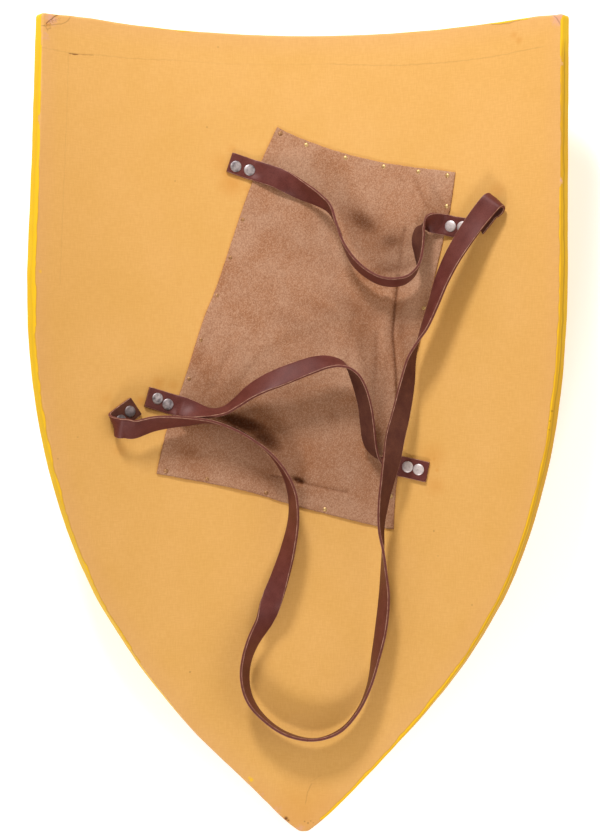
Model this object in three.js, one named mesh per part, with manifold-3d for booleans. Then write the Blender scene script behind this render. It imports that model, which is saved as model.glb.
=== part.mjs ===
import * as THREE from 'three';
import { mergeVertices } from 'three/addons/utils/BufferGeometryUtils.js';
import Module from 'manifold-3d';

// Heater shield, lying on its painted front with the strapped back up.
// Millimetres. +Y runs to the straight top edge, +X to the right seen from the back, +Z up.
// The board is a flat sheet bent to one radius about the long axis, so places on its back are
// given as [across, up] on the sheet: across is measured round the curve from the middle line.

// Board
const boardLength = 778;
const boardGirth = 549;
const boardThickness = 12.5;
const bendRadius = 373;
const restDepth = 0.6;
const edgeBevel = 1.8;
const cornerRadius = 4.5;
const boardColumns = 17;

// Half outline of the board as shares of its length, from the tip, and of half its girth
const outlineShares = [
  [0, 0.016], [0.02, 0.085], [0.06, 0.198], [0.14, 0.415], [0.22, 0.596], [0.33, 0.784],
  [0.44, 0.905], [0.55, 0.973], [0.67, 1], [0.8, 0.995], [1, 0.984],
];
const outlineRows = 21;
const cornerRows = 3;

// Gaps between pieces that touch, and round shanks
const restGap = 0.3;
const shankGap = 0.3;

// Straps
const strapWidth = 20;
const strapThickness = 2.6;
const foldRadius = 6.5;

// Rivets
const rivetHeadRadius = 5.4;
const rivetHeadHeight = 2;
const rivetShankRadius = 2;
const rivetFrontRadius = 5.2;
const rivetFrontHeight = 1.3;
const rivetSides = 10;
const seatMargin = 1;
const drillPast = 2;

// Forearm pad: a suede sheet over thin padding, tacked flat round its edge
const padEdgeThickness = 1.5;
const padCrownThickness = 6;
const padColumns = 11;
const padRows = 15;
const padTop = [[-22.5, 298.5], [0, 288], [39, 274], [78.5, 263.5], [118, 256], [153.5, 250]];
const padBottom = [[-141.5, -38.5], [-91.5, -48], [-50, -57], [0, -72], [74.5, -90], [92, -92.5]];
const padLeft = [
  [-141.5, -38.5], [-132, 0.5], [-114, 50.5], [-95.5, 108], [-79.5, 149], [-50, 236], [-22.5, 298.5],
];
const padRight = [
  [92, -92.5], [95.5, -44], [113, 69], [117.5, 87], [131.5, 145.5], [147.5, 212], [153.5, 250],
];

// Tacks, as shares along each edge of the pad
const tackInset = 4;
const tackHeadRadius = 2.15;
const tackHeadHeight = 1.1;
const tackShankRadius = 0.7;
const tackDepth = 7;
const tackSides = 6;
const tackRimReach = 1.8;
const tackShares = {
  top: [0.03, 0.18, 0.4, 0.61, 0.8, 0.96],
  right: [0.09, 0.36, 0.62, 0.905],
  left: [0.27, 0.38, 0.51, 0.62, 0.73],
  bottom: [0.035, 0.21, 0.46, 0.71, 0.95],
};

// Each strap has two riveted ends and the free run between them. An end has its tip, the
// heading inwards in degrees, how far it lies flat, and its rivets as [from the tip, sideways].
// A free station is [across, up, height of the middle over the board, roll]: at roll 0 the
// smooth grain side is up, and a positive roll lifts the left edge seen along the run.
const gripStrap = {
  start: { tip: [-69.3, 263.6], heading: -18, flat: 23, rivets: [[7.2, -2.1], [21, -1]] },
  finish: { tip: [168.2, 194.7], heading: 168.7, flat: 18, rivets: [[7.1, -1], [19.3, 0]] },
  run: [
    [-41.8, 254.8, 3.9, 1], [-35, 252.5, 6, 4], [-20, 247, 9.5, 6], [0, 236, 13.5, 38],
    [18.5, 226, 18, 62], [30, 217, 20.5, 76], [38.5, 199, 23, 88], [45.5, 180.5, 24.5, 84],
    [55.5, 165, 25.5, 74], [70.5, 152.5, 25.5, 71], [86.5, 145.5, 25.5, 71], [103.5, 145, 25, 76],
    [116, 150.5, 24.5, 92], [123, 161, 23.5, 109], [123, 174, 21.5, 128], [121.5, 187, 19, 138],
    [123.5, 197.5, 17, 120], [130, 201.5, 13.5, 52], [137.5, 201, 7.6, 14], [143.8, 200, 3.9, 2],
  ],
};
const forearmStrap = {
  start: { tip: [-151.5, 35.2], heading: -16, flat: 26, rivets: [[10.4, 1.3], [21.9, -1.2]] },
  finish: { tip: [125.9, -37.2], heading: 168.4, flat: 23, rivets: [[9.1, -0.6], [20.3, -0.9]] },
  run: [
    [-120.5, 26.5, 5.6, -4], [-111, 23.5, 9.8, -24], [-100, 21, 14.5, -52], [-88.5, 20, 17, -70],
    [-76.5, 22.5, 19, -74], [-65, 30, 22, -69], [-52.5, 39.5, 26, -56], [-37.5, 47.5, 29.5, -43],
    [-21, 54, 32.5, -32], [-3, 60.5, 34.5, -34], [13, 65.5, 36, -39], [25.5, 68, 36, -50],
    [37, 68, 35.5, -65], [45.5, 66, 35, -80], [51.5, 62.5, 34, -98], [58.5, 54, 32.5, -120],
    [64, 41.5, 30.5, -131], [68, 25.5, 27.5, -135], [70, 8.5, 24.5, -138], [71, -3, 22.5, -137],
    [73, -13, 20, -128], [77, -20.5, 17.5, -110], [82.5, -26, 15.5, -88], [89, -29.5, 12, -45],
    [96.5, -31.2, 5.2, -6],
  ],
};
// The long neck strap: its ends lie grain side down and fold back over themselves
const guigeStrap = {
  start: {
    tip: [-162.7, 26.3], heading: 215, flat: 19, rivets: [[8.2, 0.6], [20.7, 2.4]],
    fold: { at: [-183.4, 9.1], outward: 196, lean: 19, shift: 4, rise: 28 },
  },
  finish: {
    tip: [177.6, 198.8], heading: 48, flat: 18, skew: -23, rivets: [[8, 0], [19.4, 0]],
    fold: { at: [194.2, 214.8], outward: 49, lean: 3, shift: 0.5, rise: 8 },
  },
  run: [
    [-171, 4, 15.5, 32], [-150.5, 9, 17, 45], [-131, 11, 18, 59], [-111, 11.5, 18.5, 72],
    [-91, 11, 18.3, 88], [-68, 4.5, 18, 95], [-46.5, -7, 18, 94], [-29.5, -20.5, 18, 88],
    [-16, -38, 18, 80], [-8, -58.5, 18, 70], [-6.5, -81.5, 17.5, 64], [-12, -111, 17.5, 52],
    [-21.5, -141.5, 17, 34], [-28.5, -160.5, 17, 9], [-35.5, -180, 16.5, -31],
    [-46.5, -199, 16.5, -48], [-53.5, -216.5, 16.5, -57], [-56, -234.5, 16.5, -61],
    [-51.5, -255.5, 16.5, -70], [-36.5, -275, 16.5, -84], [-13.5, -290.5, 16.5, -92],
    [15, -296, 16.5, -98], [40.5, -287, 16.5, -91], [58.5, -267.5, 16.5, -85], [70, -243.5, 16.5, -76],
    [77.5, -212.5, 17, -60], [83, -184, 17.5, -50], [86, -155.5, 18.5, -53], [86, -134.5, 20, -65],
    [85.5, -111.5, 22, -79], [84, -90.5, 24.5, -92], [86.5, -68.5, 27.5, -104], [91.5, -45, 30, -117],
    [96.5, -23, 30.5, -133], [100, -2, 28.5, -142], [106, 23, 26, -132], [111, 48, 24, -118],
    [115.5, 72, 23.5, -96], [122.5, 88.5, 24, -75], [130, 102.5, 24.5, -57], [140, 124.5, 26, -45],
    [148, 144, 26.5, -34], [159, 165.5, 25, -22], [171, 184.5, 22, -11], [183, 202, 17.5, 0],
  ],
};
const stepLength = 12;
const stepTurn = 27;

const wasm = await Module();
wasm.setup();

const innerRadius = bendRadius - boardThickness;
const axisHeight = bendRadius - restDepth;
const strapSeat = restGap + strapThickness / 2;
const radians = THREE.MathUtils.degToRad;

const shield = new THREE.Group();

function addPiece(name, geometry, finish) {
  const piece = new THREE.Mesh(geometry, finish);
  piece.name = name;
  shield.add(piece);
}

// Closed geometry to a solid that can be joined and cut, and back
function toSolid(geometry) {
  const bare = geometry.clone();
  bare.deleteAttribute('normal');
  bare.deleteAttribute('uv');
  const merged = mergeVertices(bare, 1e-4);
  return new wasm.Manifold(new wasm.Mesh({
    numProp: 3,
    vertProperties: new Float32Array(merged.attributes.position.array),
    triVerts: new Uint32Array(merged.index.array),
  }));
}

function toGeometry(solid) {
  const mesh = solid.getMesh();
  const geometry = new THREE.BufferGeometry();
  geometry.setAttribute('position', new THREE.BufferAttribute(new Float32Array(mesh.vertProperties), 3));
  geometry.setIndex(new THREE.BufferAttribute(new Uint32Array(mesh.triVerts), 1));
  geometry.computeVertexNormals();
  return geometry;
}

// A point on the sheet, raised square to it
function onSheet(across, up, height) {
  const angle = across / innerRadius;
  const radius = innerRadius - height;
  return new THREE.Vector3(radius * Math.sin(angle), up, axisHeight - radius * Math.cos(angle));
}

// Local axes on the sheet: x round the curve, y up the board, z square to it
function sheetFrame(across, up) {
  const angle = across / innerRadius;
  const round = new THREE.Vector3(Math.cos(angle), 0, Math.sin(angle));
  const along = new THREE.Vector3(0, 1, 0);
  const square = new THREE.Vector3(-Math.sin(angle), 0, Math.cos(angle));
  return new THREE.Matrix4().makeBasis(round, along, square).setPosition(onSheet(across, up, 0));
}

// Direction on the sheet from a heading in degrees and a tilt away from the board
function sheetDirection(across, heading, tilt) {
  const flat = Math.cos(radians(tilt));
  const local = new THREE.Vector3(flat * Math.cos(radians(heading)), flat * Math.sin(radians(heading)),
    Math.sin(radians(tilt)));
  return local.transformDirection(sheetFrame(across, 0));
}

// Turned piece whose profile is drawn as [radius, height] and stands on +Z
function turned(profile, sides) {
  const points = profile.map(([radius, height]) => new THREE.Vector2(radius, height));
  return new THREE.LatheGeometry(points, sides).rotateX(Math.PI / 2);
}

function drill(radius, low, high, sides) {
  const pin = new THREE.CylinderGeometry(radius, radius, high - low, sides).rotateX(Math.PI / 2);
  return pin.translate(0, 0, (low + high) / 2);
}

// Rows of the board from the tip to the top: [distance up from the tip, half girth]
function outlineRowList() {
  const halfGirth = boardGirth / 2;
  const spline = new THREE.SplineCurve(outlineShares.map(
    ([length, girth]) => new THREE.Vector2(length * boardLength, girth * halfGirth)));
  const rows = [];
  const cornerStart = boardLength - cornerRadius;
  for (let i = 0; i < outlineRows; i++) {
    const point = spline.getPointAt(i / outlineRows);
    if (point.x < cornerStart - cornerRadius) {
      rows.push([point.x, point.y]);
    }
  }
  const topHalf = outlineShares[outlineShares.length - 1][1] * halfGirth;
  for (let i = 0; i <= cornerRows; i++) {
    const turn = (Math.PI / 2) * (i / cornerRows);
    rows.push([cornerStart + cornerRadius * Math.sin(turn), topHalf - cornerRadius * (1 - Math.cos(turn))]);
  }
  return rows;
}

// The bent board with bevelled edges. Its middle column is the flat strip that it lies on.
function makeBoard() {
  const rows = outlineRowList();
  const layers = 3;
  const geometry = new THREE.BoxGeometry(2, 1, 1, boardColumns, rows.length - 1, layers);
  const position = geometry.attributes.position;
  const flatAngle = Math.acos(axisHeight / bendRadius);
  const layerDepth = [0, edgeBevel, boardThickness - edgeBevel, boardThickness];
  for (let i = 0; i < position.count; i++) {
    const share = position.getX(i);
    const row = Math.round((position.getY(i) + 0.5) * (rows.length - 1));
    const layer = Math.round((position.getZ(i) + 0.5) * layers);
    const [upFromTip, halfGirth] = rows[row];
    const inset = layer === 0 || layer === layers ? edgeBevel : 0;
    const up = upFromTip - boardLength / 2;
    const halfAngle = (halfGirth - Math.min(inset, halfGirth / 2)) / bendRadius;
    const middle = Math.min(flatAngle, halfAngle / 3);
    const facetAngle = Math.max(middle, (halfAngle - middle) / (boardColumns - 1));
    const reach = (Math.abs(share) * boardColumns - 1) / (boardColumns - 1);
    const angle = Math.sign(share) * (middle + Math.max(0, reach) * (halfAngle - middle));
    const radius = layer === layers ? innerRadius / Math.cos(facetAngle) : bendRadius - layerDepth[layer];
    const height = axisHeight - radius * Math.cos(angle);
    position.setXYZ(i, radius * Math.sin(angle), up * (1 - inset / (boardLength / 2)), Math.max(0, height));
  }
  return geometry;
}

// Pad outline: four side curves, blended across the middle
const padSides = [padTop, padBottom, padLeft, padRight].map(
  (points) => new THREE.SplineCurve(points.map(([across, up]) => new THREE.Vector2(across, up))));

function padPlace(s, t) {
  const [top, bottom, left, right] = padSides;
  const corners = [left.getPoint(0), right.getPoint(0), left.getPoint(1), right.getPoint(1)];
  const weights = [(1 - s) * (1 - t), s * (1 - t), (1 - s) * t, s * t];
  const place = new THREE.Vector2();
  place.addScaledVector(bottom.getPointAt(s), 1 - t).addScaledVector(top.getPointAt(s), t);
  place.addScaledVector(left.getPointAt(t), 1 - s).addScaledVector(right.getPointAt(t), s);
  corners.forEach((corner, k) => place.addScaledVector(corner, -weights[k]));
  return place;
}

function padThickness(s, t) {
  const fill = (1 - (2 * s - 1) ** 4) * (1 - (2 * t - 1) ** 4);
  return padEdgeThickness + (padCrownThickness - padEdgeThickness) * Math.max(0, fill);
}

function makePad() {
  const geometry = new THREE.BoxGeometry(1, 1, 1, padColumns, padRows, 1);
  const position = geometry.attributes.position;
  for (let i = 0; i < position.count; i++) {
    const s = position.getX(i) + 0.5;
    const t = position.getY(i) + 0.5;
    const place = padPlace(s, t);
    const height = restGap + (position.getZ(i) > 0 ? padThickness(s, t) : 0);
    position.setXYZ(i, ...onSheet(place.x, place.y, height).toArray());
  }
  return geometry;
}

// A strap's stations as { point, edge, square }: edge points across the strap to its left
// edge, and square is the board's own direction away from it
function endStations(end, towardsRun) {
  const stations = [];
  const away = towardsRun ? 1 : -1;
  const folded = end.fold !== undefined;
  const direction = [Math.cos(radians(end.heading)), Math.sin(radians(end.heading))];
  for (const share of [0, 0.5, 1]) {
    const across = end.tip[0] + direction[0] * end.flat * share;
    const up = end.tip[1] + direction[1] * end.flat * share;
    const heading = end.heading + 90 * away * (folded ? -1 : 1);
    stations.push({ point: onSheet(across, up, strapSeat), edge: sheetDirection(across, heading, 0) });
  }
  if (folded) {
    const { at, outward, lean, shift, rise } = end.fold;
    for (let turn = 0; turn <= 180; turn += 45) {
      const reach = foldRadius * Math.sin(radians(turn));
      const slide = shift * Math.cos(radians(turn)) * away;
      const axis = outward - 90 * away;
      const across = at[0] + reach * Math.cos(radians(outward)) + slide * Math.cos(radians(axis));
      const up = at[1] + reach * Math.sin(radians(outward)) + slide * Math.sin(radians(axis));
      const height = strapSeat + foldRadius * (1 - Math.cos(radians(turn)));
      const heading = axis + lean * Math.cos(radians(turn)) * away;
      const tilt = rise * (1 - Math.cos(radians(turn))) / 2;
      stations.push({ point: onSheet(across, up, height), edge: sheetDirection(across, heading, tilt) });
    }
  }
  return towardsRun ? stations : stations.reverse();
}

function strapStations(strap) {
  const run = strap.run.map(([across, up, height, roll]) => ({
    point: onSheet(across, up, height), square: sheetDirection(across, 0, 90), roll,
  }));
  const stations = [...endStations(strap.start, true), ...run, ...endStations(strap.finish, false)];
  const path = new THREE.CatmullRomCurve3(stations.map((station) => station.point), false, 'centripetal');
  stations.forEach((station, i) => {
    if (station.edge === undefined) {
      const tangent = path.getTangent(i / (stations.length - 1));
      const level = new THREE.Vector3().crossVectors(station.square, tangent).normalize();
      const lift = new THREE.Vector3().crossVectors(tangent, level);
      station.edge = level.multiplyScalar(Math.cos(radians(station.roll)))
        .addScaledVector(lift, Math.sin(radians(station.roll)));
    }
  });
  const edges = new THREE.CatmullRomCurve3(stations.map((station) => station.edge), false, 'catmullrom', 0.5);
  return { path, edges, count: stations.length };
}

// Steps along a strap, closer where it bends or twists
function strapSteps({ path, edges, count }) {
  const steps = [];
  const spans = count - 1;
  for (let i = 0; i < spans; i++) {
    const from = i / spans;
    const to = (i + 1) / spans;
    const length = path.getPoint(from).distanceTo(path.getPoint(to));
    const bend = path.getTangent(from).angleTo(path.getTangent(to));
    const twist = edges.getPoint(from).angleTo(edges.getPoint(to));
    const parts = Math.max(1, Math.round(length / stepLength),
      Math.ceil((Math.max(bend, twist)) / radians(stepTurn)));
    for (let k = 0; k < parts; k++) {
      steps.push(from + (to - from) * (k / parts));
    }
  }
  steps.push(1);
  return steps.map((t) => {
    const tangent = path.getTangent(t);
    const edge = edges.getPoint(t);
    edge.addScaledVector(tangent, -edge.dot(tangent)).normalize();
    const grain = new THREE.Vector3().crossVectors(tangent, edge);
    return { middle: path.getPoint(t), tangent, edge, grain };
  });
}

function makeStrap(strap) {
  const steps = strapSteps(strapStations(strap));
  const last = steps.length - 1;
  const geometry = new THREE.BoxGeometry(1, strapWidth, strapThickness, last, 1, 1);
  const position = geometry.attributes.position;
  for (let i = 0; i < position.count; i++) {
    const index = Math.round((position.getX(i) + 0.5) * last);
    const { middle, tangent, edge, grain } = steps[index];
    const point = middle.clone();
    point.addScaledVector(edge, position.getY(i)).addScaledVector(grain, position.getZ(i));
    if (index === last && strap.finish.skew !== undefined) {
      point.addScaledVector(tangent, position.getY(i) * Math.tan(radians(strap.finish.skew)));
    }
    position.setXYZ(i, ...point.toArray());
  }
  return { geometry, steps };
}

// Height of a rivet's head over the board: drawn down onto the strap under it
function headSeat(steps, foot, square) {
  let seat = restGap + strapThickness;
  const ceiling = 2 * foldRadius - strapThickness;
  const point = new THREE.Vector3();
  for (let i = 1; i < steps.length; i++) {
    for (const along of [0, 0.25, 0.5, 0.75, 1]) {
      for (const side of [-1, -0.5, 0, 0.5, 1]) {
        for (const face of [-1, 1]) {
          const corners = [steps[i - 1], steps[i]].map(({ middle, edge, grain }) => middle.clone()
            .addScaledVector(edge, side * strapWidth / 2).addScaledVector(grain, face * strapThickness / 2));
          point.lerpVectors(corners[0], corners[1], along).sub(foot);
          const height = point.dot(square);
          const aside = point.addScaledVector(square, -height).length();
          if (aside < rivetHeadRadius + seatMargin && height < ceiling) {
            seat = Math.max(seat, height);
          }
        }
      }
    }
  }
  return seat + restGap;
}

function rivetFoot(end, [fromTip, sideways]) {
  const heading = radians(end.heading);
  return [
    end.tip[0] + fromTip * Math.cos(heading) - sideways * Math.sin(heading),
    end.tip[1] + fromTip * Math.sin(heading) + sideways * Math.cos(heading),
  ];
}

function makeRivet(seat) {
  const front = -boardThickness - restGap;
  return turned([
    [0, front - rivetFrontHeight],
    [rivetFrontRadius * 0.8, front - rivetFrontHeight],
    [rivetFrontRadius, front],
    [rivetShankRadius, front],
    [rivetShankRadius, seat],
    [rivetHeadRadius, seat],
    [rivetHeadRadius * 0.94, seat + rivetHeadHeight * 0.45],
    [rivetHeadRadius * 0.6, seat + rivetHeadHeight * 0.88],
    [0, seat + rivetHeadHeight],
  ], rivetSides);
}

function makeTack(seat) {
  return turned([
    [0, -tackDepth],
    [tackShankRadius, -tackDepth + 3 * tackShankRadius],
    [tackShankRadius, seat],
    [tackHeadRadius, seat],
    [tackHeadRadius * 0.75, seat + tackHeadHeight * 0.7],
    [0, seat + tackHeadHeight],
  ], tackSides);
}

// Tack places as shares [s, t] of the pad, set in from its edges
function tackPlaces() {
  const [top, bottom, left, right] = padSides;
  const inS = tackInset / ((top.getLength() + bottom.getLength()) / 2);
  const inT = tackInset / ((left.getLength() + right.getLength()) / 2);
  return [
    ...tackShares.top.map((s) => [s, 1 - inT]),
    ...tackShares.right.map((t) => [1 - inS, t]),
    ...tackShares.bottom.map((s) => [s, inT]),
    ...tackShares.left.map((t) => [inS, t]),
  ].map(([s, t]) => [THREE.MathUtils.clamp(s, inS, 1 - inS), THREE.MathUtils.clamp(t, inT, 1 - inT)]);
}

const boardFinish = new THREE.MeshStandardMaterial({ color: '#edb465', roughness: 0.75, metalness: 0 });
const suedeFinish = new THREE.MeshStandardMaterial({ color: '#b5856a', roughness: 0.95, metalness: 0 });
const leatherFinish = new THREE.MeshStandardMaterial({ color: '#6b3b33', roughness: 0.45, metalness: 0 });
const nickelFinish = new THREE.MeshStandardMaterial({ color: '#b9aeb0', roughness: 0.35, metalness: 1 });
const brassFinish = new THREE.MeshStandardMaterial({ color: '#b98f3e', roughness: 0.35, metalness: 1 });

let boardSolid = toSolid(makeBoard());
let padSolid = toSolid(makePad());

const straps = { grip: gripStrap, forearm: forearmStrap, guige: guigeStrap };
for (const [use, strap] of Object.entries(straps)) {
  const { geometry, steps } = makeStrap(strap);
  let strapSolid = toSolid(geometry);
  let number = 0;
  for (const end of [strap.start, strap.finish]) {
    for (const rivet of end.rivets) {
      const [across, up] = rivetFoot(end, rivet);
      const frame = sheetFrame(across, up);
      const seat = headSeat(steps, onSheet(across, up, 0), sheetDirection(across, 0, 90));
      const holeRadius = rivetShankRadius + shankGap;
      const low = -boardThickness - drillPast;
      const hole = toSolid(drill(holeRadius, low, seat + restGap, rivetSides).applyMatrix4(frame));
      boardSolid = boardSolid.subtract(hole);
      strapSolid = strapSolid.subtract(hole);
      number += 1;
      addPiece(`${use}_rivet_${number}`, makeRivet(seat).applyMatrix4(frame), nickelFinish);
    }
  }
  addPiece(`${use}_strap`, toGeometry(strapSolid), leatherFinish);
}

tackPlaces().forEach(([s, t], i) => {
  const place = padPlace(s, t);
  const frame = sheetFrame(place.x, place.y);
  const reachS = tackRimReach * tackHeadRadius / padSides[0].getLength();
  const reachT = tackRimReach * tackHeadRadius / padSides[2].getLength();
  const rims = [-1, 1].flatMap(
    (side) => [padThickness(s + side * reachS, t), padThickness(s, t + side * reachT)]);
  const seat = 2 * restGap + Math.max(...rims);
  const holeRadius = tackShankRadius + shankGap;
  const hole = toSolid(drill(holeRadius, -tackDepth - restGap, seat, tackSides).applyMatrix4(frame));
  boardSolid = boardSolid.subtract(hole);
  padSolid = padSolid.subtract(hole);
  addPiece(`pad_tack_${String(i + 1).padStart(2, '0')}`, makeTack(seat).applyMatrix4(frame), brassFinish);
});

addPiece('forearm_pad', toGeometry(padSolid), suedeFinish);
addPiece('board', toGeometry(boardSolid), boardFinish);

export default shield;
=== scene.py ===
import math

import bpy
import numpy as np
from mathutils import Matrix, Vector, noise


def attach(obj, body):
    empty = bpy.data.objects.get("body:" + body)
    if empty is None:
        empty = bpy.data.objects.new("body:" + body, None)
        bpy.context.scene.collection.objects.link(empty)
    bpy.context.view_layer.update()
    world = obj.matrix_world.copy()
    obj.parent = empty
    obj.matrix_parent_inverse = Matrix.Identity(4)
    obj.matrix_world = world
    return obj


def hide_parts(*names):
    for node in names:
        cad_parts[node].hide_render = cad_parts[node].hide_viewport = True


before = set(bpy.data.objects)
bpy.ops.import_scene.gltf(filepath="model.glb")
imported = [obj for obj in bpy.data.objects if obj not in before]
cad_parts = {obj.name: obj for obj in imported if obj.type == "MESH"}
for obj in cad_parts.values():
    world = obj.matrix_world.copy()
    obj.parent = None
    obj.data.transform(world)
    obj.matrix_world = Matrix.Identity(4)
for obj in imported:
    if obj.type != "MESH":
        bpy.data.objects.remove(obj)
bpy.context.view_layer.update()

# The strapped back of a curved heater shield, lying on its painted front.
# Places on the back are [across, up, height] in millimetres: across is measured round the bend from
# the middle line, up runs to the straight top edge, and height stands square to the board.

board = {
    "length": 778, "girth": 549, "thickness": 12.5, "bendRadius": 373, "restDepth": 0.6,
    # half outline as [share of the length from the tip, share of the half girth]
    "outline": [[0, 0.016], [0.02, 0.085], [0.06, 0.198], [0.14, 0.415], [0.22, 0.596], [0.33, 0.784],
                [0.44, 0.905], [0.55, 0.973], [0.67, 1], [0.8, 0.995], [1, 0.984]],
    # a hand-cut board is a little out of true: [up, sideways] and, for the top edge, [across, rise]
    "lean": [[-389, 3.9], [-345, 3.8], [-300, 1.4], [-258, 1.3], [-210, 1.5], [-158, 0.4],
             [-62, -1.3], [31, -2.8], [78, -3.3], [160, -2.7], [250, -0.3], [300, 0.8], [389, 2.6]],
    "spread": [[-389, 0.2], [-378, 0.5], [-351, 1.2], [-299, 2.0], [-256, 1.4], [-210, 1.9],
               [-160, 2.4], [-111, 1.2], [-63, 0.9], [78, 1.2], [124, 1.1], [170, 0.5], [290, 0.4],
               [345, 0.8], [389, 1.2]],
    "topRise": [[-275, 0.6], [-261, 0.8], [-250, 1.3], [-238, 2.2], [-215, 2.8], [-193, 2.0],
                [-170, 1.6], [-120, 0.7], [-60, 0], [0, -0.7], [100, -0.7], [160, 0], [210, 0.7],
                [245, 0.7], [255, -0.2], [264, -1], [275, -1.2]],
    "riseFrom": 300,  # the top edge's rise fades out down to here
    "spanSteps": 24, "topSteps": 160, "fineSteps": 4400, "fineStep": 0.5, "aroundEdge": 960,
    "cornerBlur": 1.9, "backRound": 2.0, "frontRound": 1.8, "centre": [0, 60],
    # rings of the mesh as shares of the way from the centre to the rounded edge
    "backRings": [0.02, 0.06, 0.12, 0.2, 0.28, 0.36, 0.44, 0.52, 0.6, 0.67, 0.73, 0.78,
                  *np.linspace(0.82, 1, 46)],
    "frontRings": [0.98, 0.95, 0.9, 0.8, 0.66, 0.5, 0.34, 0.2, 0.1, 0.03],
    "backRoundRings": 4, "sideRings": 5, "frontRoundRings": 6, "frontWrap": 40, "flatBelow": 3,
    # lumps as [height, size, share of the fine ones, their size], all in mm
    "edgeLump": [0.35, 34, 0.6, 13], "backLump": [0.25, 95, 0.4, 30], "sideLump": [0.25, 16],
    "floorGap": 0.0004,
}

innerRadius = board["bendRadius"] - board["thickness"]
axisHeight = board["bendRadius"] - board["restDepth"]


def onSheet(across, up, height):
    angle = across / innerRadius
    radius = innerRadius - height
    return Vector((radius * math.sin(angle), up, axisHeight - radius * math.cos(angle))) / 1000


def sheetAxes(across):
    angle = across / innerRadius
    round_ = Vector((math.cos(angle), 0, math.sin(angle)))
    square = Vector((-math.sin(angle), 0, math.cos(angle)))
    return round_, Vector((0, 1, 0)), square


def linearColour(hexCode, alpha=1.0):
    parts = [int(hexCode[i:i + 2], 16) / 255 for i in (1, 3, 5)]
    return [p / 12.92 if p <= 0.04045 else ((p + 0.055) / 1.055) ** 2.4 for p in parts] + [alpha]


def makePiece(name, vertices, faces, materials, faceMaterials=None, values=None):
    mesh = bpy.data.meshes.new(name)
    mesh.from_pydata([tuple(v) for v in vertices], [], faces)
    for material in materials:
        mesh.materials.append(material)
    if faceMaterials is not None:
        mesh.polygons.foreach_set("material_index", faceMaterials)
    mesh.polygons.foreach_set("use_smooth", [True] * len(mesh.polygons))
    for key, numbers in (values or {}).items():
        attribute = mesh.attributes.new(key, "FLOAT", "POINT")
        attribute.data.foreach_set("value", np.asarray(numbers, dtype=np.float32))
    mesh.update()
    piece = bpy.data.objects.new(name, mesh)
    bpy.context.scene.collection.objects.link(piece)
    return piece


def addNode(tree, kind, settings=None, links=None):
    node = tree.nodes.new(kind)
    for key, value in (settings or {}).items():
        if isinstance(key, str) and hasattr(node, key):
            setattr(node, key, value)
        else:
            node.inputs[key].default_value = value
    for key, source in (links or {}).items():
        tree.links.new(source, node.inputs[key])
    return node


# A share that runs from low at start to high at end
def span(start, end, low=0, high=1):
    return {"From Min": start, "From Max": end, "To Min": low, "To Max": high}


def startMaterial(name):
    material = bpy.data.materials.new(name)
    material.use_nodes = True
    tree = material.node_tree
    tree.nodes.clear()
    shader = addNode(tree, "ShaderNodeBsdfPrincipled")
    addNode(tree, "ShaderNodeOutputMaterial", links={"Surface": shader.outputs[0]})
    return material, tree, shader


def smoothNoise(x, y, z, size):
    return noise.noise(Vector((x / size, y / size, z)))


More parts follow.
